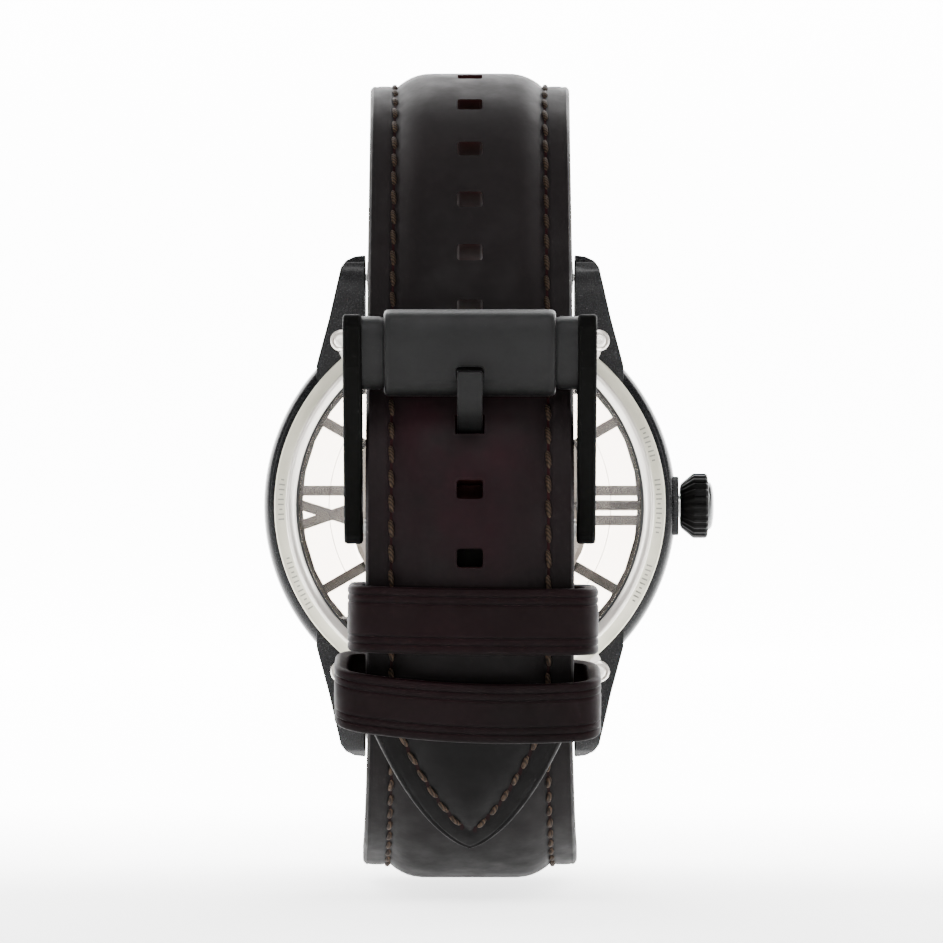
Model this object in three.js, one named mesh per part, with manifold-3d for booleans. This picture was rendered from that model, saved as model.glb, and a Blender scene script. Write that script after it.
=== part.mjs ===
// A skeleton wristwatch with a buckled leather strap, seen from its case back.
// Frame, in mm: +X to the crown, +Y to the dial side, +Z to the lugs at six o'clock.
// The origin is the centre of the outer face of the case-back glass.
import * as THREE from "three";
import { mergeVertices } from "three/addons/utils/BufferGeometryUtils.js";
import Module from "manifold-3d";

const wasm = await Module();
wasm.setup();

// Overall sizes.
const CASE_DIAMETER = 44;
const LUG_REACH = 4.8;
const LUG_TO_LUG = CASE_DIAMETER + 2 * LUG_REACH;
const CASE_REAR = 0.9;
const RING_WIDTH = 3.8;
const WINDOW_RADIUS = CASE_DIAMETER / 2 - RING_WIDTH;
const CROWN_DIAMETER = 6.9;
const CROWN_LENGTH = 2.9;
const SLIDE_GAP = 0.05;
const FIT_GAP = 0.03;
const ROUND = 32;

// Strap sizes; a bend is [length, turn in degrees].
const STRAP_LUG_WIDTH = 21.9;
const LUG_GAP = STRAP_LUG_WIDTH + 0.4;
const STRAP_BUCKLE_WIDTH = 19.8;
const FLANGE = 2.4;
const DOME = 1.3;
const BAR_DEPTH = -2.2;
const BAR_HEIGHT = LUG_TO_LUG / 2 - 2.4;
// The bends below close the loop for bars this far from the middle; a longer case adds
// straight runs at the buckle side.
const DRAWN_HEIGHT = 24.4;
const RISE = BAR_HEIGHT - DRAWN_HEIGHT;
const RUN = 2 * RISE;
const LONG_START = 46.5;
const LONG_BENDS = [
  [10.66, -0.1], [10.34, -16.6], [9.57, -24], [6.18, -29.1], [7, -21.6], [7.31, -10.8],
  [7.52, -4], [7, -0.1], [6, -1.7], [6, -7.3], [6, -11], [6, -10], [0.4 + RUN, 0],
  [15.7, -27.25], [18, -31.25],
];
const SHORT_START = -39.3;
const SHORT_BENDS = [
  [10.67, 8.8], [9.31, 13.1], [6.3, 19.3], [6.5, 17.3], [8.2, 12.6], [8.67, 13.3],
  [23.47, 44.9], [RUN, 0], [1.93, 3.7],
];
const TIP_LENGTH = 18;
const TANG_WIDTH = 2.4;
const HOLE_WIDTH = TANG_WIDTH + 0.4;
const HOLE_LENGTH = 1.9;
const HOLE_PITCH = 6.1;

// Buckle and keepers.
const BUCKLE_GAP = 0.3;
const BUCKLE_ARM = 1.8;
const BUCKLE_INNER = STRAP_BUCKLE_WIDTH + 2 * BUCKLE_GAP;
const BARREL_LENGTH = STRAP_BUCKLE_WIDTH - 3.6;
const KEEPER_THICK = 1.2;

// Movement sizes; depths are along +Y.
const RIM = 13;
const HOLDER_IN = RIM + 0.2;
const HOLDER_OUT = HOLDER_IN + 1.9;
const STEM_Y = 4.4;
const PLATE = [5.7, 6.6];
const BRIDGE = [2.9, 3.6];
const DIAL = [PLATE[1] + 0.9, PLATE[1] + 1.3];
const CASE_FRONT = DIAL[1] + 1.7;
const BEZEL_HEIGHT = 2;
const BEZEL_FRONT = CASE_FRONT + BEZEL_HEIGHT;
const TEETH = {
  centre: 64, centrePinion: 12, third: 60, thirdPinion: 8, fourth: 72, fourthPinion: 8,
  escape: 15, escapePinion: 6, barrel: 72, cannon: 12, minute: 36, minutePinion: 10,
  hour: 40, ratchet: 46, crownWheel: 40, winding: 13,
};
const MOD_CENTRE = 0.13;
const THIRD_DISTANCE = (MOD_CENTRE * (TEETH.centre + TEETH.thirdPinion)) / 2;
const MOD_THIRD = (2 * THIRD_DISTANCE) / (TEETH.third + TEETH.fourthPinion);
const MOD_FOURTH = 0.12;
const MOD_MINUTE = 0.16;
const MINUTE_DISTANCE = (MOD_MINUTE * (TEETH.cannon + TEETH.minute)) / 2;
const MOD_HOUR = (2 * MINUTE_DISTANCE) / (TEETH.minutePinion + TEETH.hour);
const MOD_WIND = 0.17;

const deg = Math.PI / 180;
const polar = (angle, radius, from = [0, 0]) => [
  from[0] + radius * Math.cos(angle * deg),
  from[1] + radius * Math.sin(angle * deg),
];
const BARREL_ANGLE = 130;
const THIRD_ANGLE = 215;
const ESCAPE_ANGLE = 300;
const MINUTE_ANGLE = 20;
const WIND_ANGLE = -15;
const BARREL_AT = polar(BARREL_ANGLE, (MOD_CENTRE * (TEETH.barrel + TEETH.centrePinion)) / 2);
const THIRD_AT = polar(THIRD_ANGLE, THIRD_DISTANCE);
const ESCAPE_AT = polar(ESCAPE_ANGLE, (MOD_FOURTH * (TEETH.fourth + TEETH.escapePinion)) / 2);
const BALANCE_AT = [5.66, -5.66];
const MINUTE_AT = polar(MINUTE_ANGLE, MINUTE_DISTANCE);
const CROWN_WHEEL_AT = polar(
  WIND_ANGLE, (MOD_WIND * (TEETH.ratchet + TEETH.crownWheel)) / 2, BARREL_AT,
);
const LEVER_ANGLE = Math.atan2(BALANCE_AT[1] - ESCAPE_AT[1], BALANCE_AT[0] - ESCAPE_AT[0]) / deg;
const PALLET_AT = polar(LEVER_ANGLE, 2.2, ESCAPE_AT);

// Solid helpers.
function solid(geometry) {
  const plain = geometry.index ? geometry.toNonIndexed() : geometry;
  const bare = new THREE.BufferGeometry();
  bare.setAttribute("position", plain.getAttribute("position"));
  const merged = mergeVertices(bare, 1e-4);
  const made = new wasm.Manifold(new wasm.Mesh({
    numProp: 3,
    vertProperties: new Float32Array(merged.attributes.position.array),
    triVerts: new Uint32Array(merged.index.array),
  }));
  return made;
}
const shapeOf = (points) => new THREE.Shape(points.map((p) => new THREE.Vector2(p[0], p[1])));
function area(points) {
  return points.reduce((sum, p, i) => {
    const q = points[(i + 1) % points.length];
    return sum + p[0] * q[1] - q[0] * p[1];
  }, 0);
}
const ordered = (points) => (area(points) < 0 ? [...points].reverse() : points);
// A prism along Y of an outline in X and Z.
function prismY(points, y0, y1) {
  const g = new THREE.ExtrudeGeometry(shapeOf(ordered(points)), { depth: y1 - y0, bevelEnabled: false });
  g.rotateX(Math.PI / 2);
  g.translate(0, y1, 0);
  return solid(g);
}
// A prism along X of an outline in Y and Z.
function prismX(points, x0, x1) {
  const g = new THREE.ExtrudeGeometry(shapeOf(ordered(points)), { depth: x1 - x0, bevelEnabled: false });
  g.applyMatrix4(new THREE.Matrix4().set(0, 0, 1, 0, 1, 0, 0, 0, 0, 1, 0, 0, 0, 0, 0, 1));
  g.translate(x0, 0, 0);
  return solid(g);
}
// A turned ring about Y whose profile [radius, y] closes on itself.
function turned(profile, segments = ROUND, at = [0, 0]) {
  const closed = [...ordered(profile), ordered(profile)[0]];
  const g = new THREE.LatheGeometry(closed.map((p) => new THREE.Vector2(p[0], p[1])), segments);
  g.translate(at[0], 0, at[1]);
  return solid(g);
}
function ring(inner, outer, y0, y1, segments = ROUND, at = [0, 0]) {
  return turned([[inner, y0], [outer, y0], [outer, y1], [inner, y1]], segments, at);
}
function discY(radius, y0, y1, segments = 24, at = [0, 0]) {
  const g = new THREE.CylinderGeometry(radius, radius, y1 - y0, segments);
  g.translate(at[0], (y0 + y1) / 2, at[1]);
  return solid(g);
}
function rodX(radius, x0, x1, y, z, segments = 20) {
  const g = new THREE.CylinderGeometry(radius, radius, x1 - x0, segments);
  g.rotateZ(-Math.PI / 2);
  g.translate((x0 + x1) / 2, y, z);
  return solid(g);
}
function box(x0, x1, y0, y1, z0, z1) {
  const g = new THREE.BoxGeometry(x1 - x0, y1 - y0, z1 - z0);
  g.translate((x0 + x1) / 2, (y0 + y1) / 2, (z0 + z1) / 2);
  return solid(g);
}
const join = (...parts) => parts.reduce((a, b) => a.add(b));
const cut = (body, ...tools) => tools.reduce((a, b) => a.subtract(b), body);

// A gear outline: one tip and one root per tooth; a tooth centre lies at the phase angle.
function gearOutline(teeth, module, phase = 0, at = [0, 0]) {
  const points = [];
  const pitch = (module * teeth) / 2;
  for (let i = 0; i < teeth; i++) {
    points.push(polar(phase + (360 * i) / teeth, pitch + 0.85 * module, at));
    points.push(polar(phase + (360 * (i + 0.5)) / teeth, pitch - 1.15 * module, at));
  }
  return points;
}
const gear = (teeth, module, phase, at, y0, y1) => prismY(gearOutline(teeth, module, phase, at), y0, y1);
// A ring sector outline.
function sector(inner, outer, from, to, count = 8) {
  const points = [];
  for (let i = 0; i <= count; i++) points.push(polar(from + ((to - from) * i) / count, outer));
  for (let i = count; i >= 0; i--) points.push(polar(from + ((to - from) * i) / count, inner));
  return points;
}
// A straight bar outline between two points.
function bar(a, b, width) {
  const d = [b[0] - a[0], b[1] - a[1]];
  const k = width / 2 / Math.hypot(d[0], d[1]);
  return [
    [a[0] + d[1] * k, a[1] - d[0] * k], [b[0] + d[1] * k, b[1] - d[0] * k],
    [b[0] - d[1] * k, b[1] + d[0] * k], [a[0] - d[1] * k, a[1] + d[0] * k],
  ];
}

const group = new THREE.Group();
const looks = {
  black: [0x17181a, 0.35, 0.8], steel: [0xc9c8c4, 0.3, 1], brass: [0xc2a25a, 0.35, 1],
  glass: [0xf2ece6, 0.05, 0], clear: [0xe9e2da, 0.15, 0], rubber: [0x202020, 0.8, 0],
  leather: [0x2a1e20, 0.55, 0], keeper: [0x1f1416, 0.5, 0], marker: [0x55544f, 0.4, 0.6],
  jewel: [0x8b1830, 0.1, 0], plate: [0xd6cec0, 0.35, 0.9], blue: [0x2b3350, 0.3, 0.9],
};
function place(name, look, body) {
  const m = body.getMesh();
  const n = m.numProp;
  const v = new Float32Array(m.numVert * 3);
  for (let i = 0; i < m.numVert; i++) v.set(m.vertProperties.subarray(i * n, i * n + 3), i * 3);
  const g = new THREE.BufferGeometry();
  g.setAttribute("position", new THREE.BufferAttribute(v, 3));
  g.setIndex(new THREE.BufferAttribute(new Uint32Array(m.triVerts), 1));
  const [color, roughness, metalness] = looks[look];
  const mesh = new THREE.Mesh(g, new THREE.MeshStandardMaterial({ color, roughness, metalness }));
  mesh.name = name;
  group.add(mesh);
}

// The case: a turned middle with four lugs, a flat for the crown and bores for bars and screws.
const R = CASE_DIAMETER / 2;
const BORE = R - 2.3;
const SEAT = R - 3.1;
const CROWN_FACE = R + 0.25;
const EAR = polar(52.1, R + 0.3);
const LUG_TIP = LUG_TO_LUG / 2;
const lugFoot = LUG_GAP / 2 + 5.15;
const lugPlan = [
  [LUG_GAP / 2, R - 10], [LUG_GAP / 2, LUG_TIP], [LUG_GAP / 2 + 1.35, LUG_TIP - 0.25],
  [LUG_GAP / 2 + 2.55, LUG_TIP - 1.2], [lugFoot, R - 7], [lugFoot, R - 10],
];
const lugSide = [
  [CASE_REAR, R - 10], [CASE_REAR, R - 2.7], [CASE_REAR - 0.6, R + 0.3],
  [CASE_REAR - 0.5, LUG_TIP - 1.9], [CASE_REAR + 0.6, LUG_TIP], [CASE_REAR + 2.5, LUG_TIP],
  [CASE_REAR + 5.1, LUG_TIP - 2.5], [CASE_REAR + 7.3, R - 2.5], [CASE_REAR + 8, R - 10],
];
function lug(sx, sz) {
  const plan = prismY(lugPlan.map(([x, z]) => [sx * x, sz * z]), -1, 10);
  const x0 = LUG_GAP / 2 - 1;
  const x1 = lugFoot + 1;
  const side = prismX(lugSide.map(([y, z]) => [y, sz * z]), sx > 0 ? x0 : -x1, sx > 0 ? x1 : -x0);
  return plan.intersect(side);
}
const corners = [[-1, 1], [1, 1], [-1, -1], [1, -1]];
const outer = turned([
  [0.01, CASE_REAR], [R - 0.9, CASE_REAR], [R, CASE_REAR + 1.1], [R, CASE_FRONT - 1.6],
  [R - 0.9, CASE_FRONT], [0.01, CASE_FRONT],
], ROUND);
let caseMiddle = join(
  outer,
  box(R - 3, CROWN_FACE, STEM_Y - 2.9, STEM_Y + 2.9, -3.15, 3.15),
  ...corners.map(([sx, sz]) => lug(sx, sz)),
);
caseMiddle = cut(
  caseMiddle,
  discY(BORE, CASE_REAR - 1, CASE_FRONT - 0.3, ROUND),
  discY(SEAT, CASE_REAR, CASE_FRONT + 1, ROUND),
  ring(BORE - 1, BORE + 0.65, CASE_REAR - 1, CASE_REAR + 0.55, ROUND),
  rodX(1.35, BORE - 2, R + 2, STEM_Y, 0, 20),
  rodX(0.55, -LUG_GAP / 2 - 1.2, LUG_GAP / 2 + 1.2, -BAR_DEPTH, BAR_HEIGHT, 12),
  rodX(0.55, -LUG_GAP / 2 - 1.2, LUG_GAP / 2 + 1.2, -BAR_DEPTH, -BAR_HEIGHT, 12),
  ...corners.map(([sx, sz]) => discY(0.5, CASE_REAR - 1, 3.4, 12, [sx * EAR[0], sz * EAR[1]])),
);
place("case_middle", "black", caseMiddle);

// Bezel, front glass, its gasket and the inner flange ring.
place("bezel", "black", turned([
  [SEAT, CASE_FRONT + FIT_GAP], [R - 0.9, CASE_FRONT + FIT_GAP], [R - 0.7, CASE_FRONT + 0.5],
  [R - 1.6, BEZEL_FRONT - 0.3], [R - 2.2, BEZEL_FRONT], [SEAT, BEZEL_FRONT],
], ROUND));
place("front_crystal", "glass", turned([
  [0.01, CASE_FRONT + 0.3], [SEAT - 0.35, CASE_FRONT + 0.3], [SEAT - 0.35, BEZEL_FRONT - 0.1],
  [SEAT - 0.7, BEZEL_FRONT + 0.1], [0.01, BEZEL_FRONT + 0.1],
], ROUND));
place("front_crystal_gasket", "rubber",
  ring(SEAT - 0.35 + FIT_GAP, SEAT - FIT_GAP, CASE_FRONT + 0.3, BEZEL_FRONT - 0.4, ROUND));
place("rehaut", "marker", turned([
  [SEAT - 0.7, DIAL[1] + 0.4], [BORE - SLIDE_GAP, DIAL[1] + 0.4], [BORE - SLIDE_GAP, CASE_FRONT - 0.35],
  [SEAT - 0.2, CASE_FRONT - 0.35],
], ROUND));

// Clear dial disc, and the chapter ring with its twelve hour markers.
place("dial_disc", "clear", ring(1.4, BORE - 0.2, DIAL[0], DIAL[1], ROUND));
const MARK = 1.1;
function marker(hour) {
  const out = WINDOW_RADIUS + 0.2;
  const inn = hour % 3 ? 12.4 : 11.4;
  const turn = ([r, side]) => {
    const a = -90 + 30 * hour;
    return [
      r * Math.cos(a * deg) - side * Math.sin(a * deg),
      r * Math.sin(a * deg) + side * Math.cos(a * deg),
    ];
  };
  const strokes = {
    3: [[out, -1.6, inn, -1.6], [out, 0, inn, 0], [out, 1.6, inn, 1.6]],
    6: [[out, 1.9, inn, 1.9], [out, -2.1, inn, -0.9], [out, 0.3, inn, -0.9]],
    9: [[out, -1.6, inn, -1.6], [out, 2.2, inn, -0.2], [out, -0.1, inn, 2.1]],
    12: [[out, 2.6, inn, 2.6], [out, 1.1, inn, 1.1], [out, -2.7, inn, -0.4], [out, -0.5, inn, -2.6]],
  }[hour] || [[out, 0, inn, 0]];
  return strokes.map(([r0, s0, r1, s1]) =>
    prismY(bar(turn([r0, s0]), turn([r1, s1]), MARK), DIAL[1] + FIT_GAP, DIAL[1] + 0.35));
}
const hours = Array.from({ length: 12 }, (_, i) => i + 1);
place("dial_markers", "marker", join(
  ring(WINDOW_RADIUS - 0.1, BORE - 0.4, DIAL[1] + FIT_GAP, DIAL[1] + 0.35, ROUND),
  ...hours.flatMap(marker),
));

// Case back: ring with four eared screw tabs, glass and gaskets.
const BACK_IN = WINDOW_RADIUS + 0.3;
let back = turned([
  [BACK_IN, -0.05], [BACK_IN + 0.65, -0.4], [BACK_IN + 0.9, -0.4], [BACK_IN + 1, 0],
  [R - 1.2, 0.1], [R - 1.2, CASE_REAR - FIT_GAP], [BORE - 0.1, CASE_REAR - FIT_GAP],
  [BORE - 0.1, 2.3], [BACK_IN, 2.3],
], ROUND);
const earAngle = Math.atan2(EAR[1], EAR[0]) / deg;
for (const [sx, sz] of corners) {
  const at = [sx * EAR[0], sz * EAR[1]];
  const root = [at[0] * 0.9, at[1] * 0.9];
  back = join(back, discY(1.15, 0.1, CASE_REAR - FIT_GAP, 16, at),
    prismY(bar(root, at, 1.9), 0.1, CASE_REAR - FIT_GAP));
  back = cut(back, discY(0.8, -1, 0.5, 16, at), discY(0.5, -1, 2, 12, at));
}
place("case_back_ring", "steel", back);
place("back_crystal", "glass", discY(WINDOW_RADIUS, 0, 1, ROUND));
place("back_crystal_gasket", "rubber", ring(WINDOW_RADIUS + FIT_GAP, BACK_IN - FIT_GAP, 0.05, 1, ROUND));
place("case_back_gasket", "rubber",
  ring(BORE + 0.05, BORE + 0.6, CASE_REAR + 0.05, CASE_REAR + 0.5, ROUND));
corners.forEach(([sx, sz], i) => {
  const at = [sx * EAR[0], sz * EAR[1]];
  const slot = box(at[0] - 1, at[0] + 1, -0.2, 0.15, at[1] - 0.11, at[1] + 0.11);
  place("case_back_screw_" + (i + 1), "steel", cut(
    join(discY(0.72, -0.05, 0.46, 14, at), discY(0.42, 0.4, 3.2, 10, at)), slot));
});

// Crown group and winding works.
place("crown_tube", "steel", cut(rodX(1.3, BORE + 0.1, R + 1.7, STEM_Y, 0, 20),
  rodX(0.7, BORE - 1, R + 3, STEM_Y, 0, 16)));
const CROWN_IN = CROWN_FACE + 0.35;
const CROWN_OUT = CROWN_IN + CROWN_LENGTH;
const cr = CROWN_DIAMETER / 2;
const flutes = Array.from({ length: 48 }, (_, i) => {
  const [y, z] = polar((360 * i) / 48, i % 2 ? cr - 0.22 : cr);
  return [STEM_Y + y, z];
});
const coneX = (r0, r1, x0, x1) => {
  const g = new THREE.CylinderGeometry(r1, r0, x1 - x0, 32);
  g.rotateZ(-Math.PI / 2);
  g.translate((x0 + x1) / 2, STEM_Y, 0);
  return solid(g);
};
const STEM_R = 0.45;
const crownShape = join(coneX(cr - 1.1, cr + 0.2, CROWN_IN, CROWN_IN + 1.3),
  coneX(cr + 0.2, cr + 0.2, CROWN_IN + 1.29, CROWN_OUT - 0.5),
  coneX(cr + 0.2, cr - 0.5, CROWN_OUT - 0.51, CROWN_OUT));
place("crown", "black", cut(prismX(flutes, CROWN_IN, CROWN_OUT).intersect(crownShape),
  rodX(1.75, CROWN_IN - 1, CROWN_IN + 1.75, STEM_Y, 0, 20),
  rodX(STEM_R + FIT_GAP, CROWN_IN, CROWN_IN + 2.4, STEM_Y, 0, 12)));
place("crown_cap", "steel", join(coneX(2.55, 2.3, CROWN_OUT + FIT_GAP, CROWN_OUT + 0.35),
  coneX(2.3, 1.3, CROWN_OUT + 0.34, CROWN_OUT + 0.62)));
place("crown_gasket", "rubber", cut(rodX(1.71, CROWN_IN + 0.2, CROWN_IN + 0.7, STEM_Y, 0, 20),
  rodX(1.36, CROWN_IN, CROWN_IN + 1, STEM_Y, 0, 20)));
const GROOVE = [8.7, 9.7];
place("winding_stem", "steel", join(rodX(STEM_R, GROOVE[1], CROWN_IN + 2.35, STEM_Y, 0, 12),
  rodX(0.25, GROOVE[0] - 0.01, GROOVE[1] + 0.01, STEM_Y, 0, 12),
  rodX(STEM_R, 5.2, GROOVE[0], STEM_Y, 0, 12)));
const leaves = Array.from({ length: 2 * TEETH.winding }, (_, i) => {
  const [y, z] = polar((360 * i) / (2 * TEETH.winding), i % 2 ? 1.2 : 1.48);
  return [STEM_Y + y, z];
});
place("sliding_pinion", "steel", cut(join(prismX(leaves, 5.6, 6.5), rodX(0.95, 6.49, 8, STEM_Y, 0, 16)),
  rodX(STEM_R + SLIDE_GAP, 5, 9, STEM_Y, 0, 12)));
const LEVER_AT = [9.2, 4.1];
place("setting_lever", "steel", join(
  prismY(bar(LEVER_AT, [9.2, 0.75], 0.7), 4.9, 5.2),
  prismY(bar([9.2, 1.3], [9.2, 0.62], 0.42), STEM_Y - 0.2, 5.1),
  discY(0.8, 4.9, 5.2, 16, LEVER_AT),
  discY(0.3, 5.1, PLATE[0] + 0.5, 12, LEVER_AT),
));

// Mainplate, movement holder and bridges.
const opening = (from, to, r0, r1) =>
  prismY(sector(r0, r1, from, to, 6), PLATE[0] - 1, PLATE[1] + 1);
place("mainplate", "plate", cut(discY(RIM, PLATE[0], PLATE[1], ROUND),
  discY(0.8, 5, 8, 20), opening(35, 80, 6.2, 11), opening(150, 200, 5, 11.2),
  opening(222, 275, 6.4, 11.2),
  discY(0.25, 5, 8, 8, MINUTE_AT), discY(0.36, 5, 8, 10, LEVER_AT),
  discY(0.7, 5, 8, 16, BARREL_AT), discY(0.16, 5, 6.2, 8, THIRD_AT), discY(0.14, 5, 6.2, 8, ESCAPE_AT),
  discY(0.14, 5, 6.2, 8, PALLET_AT), discY(0.14, 5, 6.2, 8, BALANCE_AT),
  box(4.9, RIM + 1, 5, STEM_Y + 1.65, -1.7, 1.7)));
place("movement_holder", "clear", cut(turned([
  [HOLDER_IN, 3.2], [HOLDER_OUT, 3.2], [HOLDER_OUT, 5.6], [BORE - 0.15, 5.6], [BORE - 0.15, 6.2],
  [HOLDER_IN, 6.2],
], ROUND), rodX(0.8, 10, R, STEM_Y, 0, 12),
...[40, 140, 220, 320].map((a) => discY(0.55, 2, 4.4, 10, polar(a, HOLDER_IN + 0.95)))));
const legs = (...spots) =>
  spots.map(([a, r]) => discY(0.8, BRIDGE[0], PLATE[0] - FIT_GAP, 12, polar(a, r)));
const screwSpots = [[112, 11.6], [252, 11.6], [318, 12.2]];
const screwHoles = (...list) => list.map(([a, r]) => discY(0.42, 2, 3.4, 10, polar(a, r)));
place("barrel_bridge", "plate", cut(
  join(prismY(sector(2.3, 12.5, 26, 186, 12), BRIDGE[0], BRIDGE[1]),
    ...legs([70, 11.6], [112, 11.6], [178, 11.6])),
  discY(0.7, 2, 4, 16, BARREL_AT), discY(0.36, 2, 4, 12, CROWN_WHEEL_AT), ...screwHoles(screwSpots[0])));
place("train_bridge", "plate", cut(
  join(prismY(sector(4, 12.5, 204, 284, 8), BRIDGE[0], BRIDGE[1]),
    prismY(bar([0, 0], polar(244, 6), 3.4), BRIDGE[0], BRIDGE[1]), discY(1.35, BRIDGE[0], BRIDGE[1], 20),
    prismY(bar(polar(270, 4.6), ESCAPE_AT, 1.7), BRIDGE[0], BRIDGE[1]),
    ...legs([212, 11.6], [252, 11.6], [279, 11.6])),
  discY(0.16, 3.3, 4, 8), discY(0.17, 3.3, 4, 8, THIRD_AT), discY(0.14, 3.3, 4, 8, ESCAPE_AT),
  ...screwHoles(screwSpots[1])));
place("balance_cock", "plate", cut(
  join(prismY(sector(6.2, 12.7, 303, 334, 5), BRIDGE[0], BRIDGE[1]),
    discY(0.5, BRIDGE[0], PLATE[0] - FIT_GAP, 10, polar(318, 12.2))),
  discY(0.14, 3.3, 4, 8, BALANCE_AT), ...screwHoles(screwSpots[2])));
screwSpots.forEach(([a, r], i) => {
  const at = polar(a, r);
  place("bridge_screw_" + (i + 1), "blue", join(discY(0.7, BRIDGE[0] - 0.33, BRIDGE[0] - 0.03, 12, at),
    discY(0.36, BRIDGE[0] - 0.1, BRIDGE[0] + 0.4, 8, at)));
});

// Barrel and train; each arbor is one piece with its wheel and pinion.
const meshed = (angle, teeth) => angle + 180 + 180 / teeth;
place("mainspring_barrel", "brass", join(
  discY(4.45, 4.75, 5.6, 28, BARREL_AT),
  gear(TEETH.barrel, MOD_CENTRE, meshed(BARREL_ANGLE, TEETH.barrel), BARREL_AT, 4.95, 5.2),
  discY(0.6, 5.5, PLATE[1] - 0.1, 12, BARREL_AT)));
place("centre_wheel", "brass", cut(join(
  cut(gear(TEETH.centre, MOD_CENTRE, THIRD_ANGLE, [0, 0], 4.45, 4.65),
    ...[0, 120, 240].map((a) => prismY(sector(1.3, 3.6, a + 14, a + 106, 5), 4, 5))),
  gear(TEETH.centrePinion, MOD_CENTRE, BARREL_ANGLE, [0, 0], 4.64, 5.4),
  discY(0.6, 5.39, DIAL[1] + 0.7, 14)),
discY(0.3, 4, 9, 12)));
place("third_wheel", "brass", join(
  cut(gear(TEETH.third, MOD_THIRD, meshed(THIRD_ANGLE, 0.5), THIRD_AT, 4.1, 4.3),
    ...[0, 120, 240].map((a) => prismY(
      sector(1.1, 3.5, a + 16, a + 104, 5).map(([x, z]) => [x + THIRD_AT[0], z + THIRD_AT[1]]), 4, 5))),
  gear(TEETH.thirdPinion, MOD_CENTRE, meshed(THIRD_ANGLE, TEETH.thirdPinion), THIRD_AT, 4.29, 4.75),
  discY(0.13, 3.4, 6.1, 8, THIRD_AT)));
place("fourth_wheel", "brass", join(
  cut(gear(TEETH.fourth, MOD_FOURTH, ESCAPE_ANGLE, [0, 0], 3.75, 3.95),
    ...[45, 165, 285].map((a) => prismY(sector(1.2, 3.8, a + 14, a + 106, 5), 3, 5))),
  gear(TEETH.fourthPinion, MOD_THIRD, THIRD_ANGLE + 180 / TEETH.fourthPinion, [0, 0], 3.94, 4.38),
  discY(0.22, 4.37, DIAL[1] + 1.35, 8), discY(0.13, 3.4, 3.8, 8)));
const escapeTip = 1.85;
const escapePhase = LEVER_ANGLE + 24;
const escapeOutline = [];
for (let i = 0; i < TEETH.escape; i++) {
  const a = escapePhase + (360 * i) / TEETH.escape;
  escapeOutline.push(polar(a - 14, 1.3, ESCAPE_AT), polar(a - 2, escapeTip, ESCAPE_AT),
    polar(a, escapeTip, ESCAPE_AT), polar(a + 1, 1.3, ESCAPE_AT));
}
place("escape_wheel", "steel", join(prismY(escapeOutline, 4.95, 5.15),
  gear(TEETH.escapePinion, MOD_FOURTH, meshed(ESCAPE_ANGLE, TEETH.escapePinion), ESCAPE_AT, 3.7, 4.05),
  discY(0.12, 3.4, 6.1, 8, ESCAPE_AT)));
const local = (along, side) => polar(LEVER_ANGLE + 90, side, polar(LEVER_ANGLE, along, PALLET_AT));
place("pallet_fork", "steel", join(
  discY(0.3, 4.95, 5.15, 12, PALLET_AT),
  prismY(bar(local(0, 0), local(0.85, 0), 0.26), 4.95, 5.15),
  prismY(bar(local(0.8, -0.3), local(0.8, 0.3), 0.16), 4.95, 5.15),
  prismY(bar(local(0.05, 0), local(-0.1, 1.0), 0.22), 4.95, 5.15),
  prismY(bar(local(0.05, 0), local(-0.1, -1.0), 0.22), 4.95, 5.15),
  prismY(bar(local(0, 0.97), local(-0.42, 1.02), 0.2), 4.95, 5.15),
  prismY(bar(local(0, -0.97), local(-0.42, -1.02), 0.2), 4.95, 5.15),
  discY(0.11, 4.8, 6.1, 8, PALLET_AT)));
place("balance_wheel", "brass", join(
  ring(2.95, 3.4, 4.0, 4.35, 24, BALANCE_AT),
  prismY(bar(polar(20, 3.1, BALANCE_AT), polar(200, 3.1, BALANCE_AT), 0.45), 4.05, 4.3),
  discY(0.5, 4.05, 4.3, 12, BALANCE_AT), discY(0.11, 3.4, 6.1, 8, BALANCE_AT),
  discY(0.42, 4.6, 4.8, 12, BALANCE_AT)));
const coil = [];
const coilBack = [];
for (let i = 0; i <= 36; i++) {
  const a = 30 * i;
  const r = 0.45 + (1.9 * i) / 36;
  coil.push(polar(a, r + 0.06, BALANCE_AT));
  coilBack.unshift(polar(a, r - 0.06, BALANCE_AT));
}
place("hairspring", "blue", prismY([...coil, ...coilBack], 3.68, 3.83));
place("ratchet_wheel", "steel", join(
  gear(TEETH.ratchet, MOD_WIND, WIND_ANGLE, BARREL_AT, 2.62, 2.82),
  discY(0.6, 2.81, 4.72, 12, BARREL_AT)));
place("crown_wheel", "steel", join(
  gear(TEETH.crownWheel, MOD_WIND, meshed(WIND_ANGLE, TEETH.crownWheel), CROWN_WHEEL_AT, 2.62, 2.82),
  discY(0.3, 2.81, 3.5, 10, CROWN_WHEEL_AT)));

// Motion works and hands, set to half past twelve.
place("cannon_pinion", "steel", cut(join(
  gear(TEETH.cannon, MOD_MINUTE, MINUTE_ANGLE, [0, 0], 6.66, 7.0), discY(0.85, 6.99, DIAL[1] + 1.08, 16)),
discY(0.64, 6, DIAL[1] + 0.74, 14), discY(0.3, 8, 11, 12)));
place("minute_wheel", "brass", join(
  gear(TEETH.minute, MOD_MINUTE, meshed(MINUTE_ANGLE, TEETH.minute), MINUTE_AT, 6.7, 6.92),
  gear(TEETH.minutePinion, MOD_HOUR, meshed(MINUTE_ANGLE, TEETH.minutePinion), MINUTE_AT, 6.91, 7.4),
  discY(0.19, 6.2, 6.75, 8, MINUTE_AT)));
place("hour_wheel", "brass", cut(join(
  gear(TEETH.hour, MOD_HOUR, MINUTE_ANGLE, [0, 0], 7.1, 7.32), discY(1.2, 7.31, 8.56, 18)),
discY(0.92, 6, 9, 18)));
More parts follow.
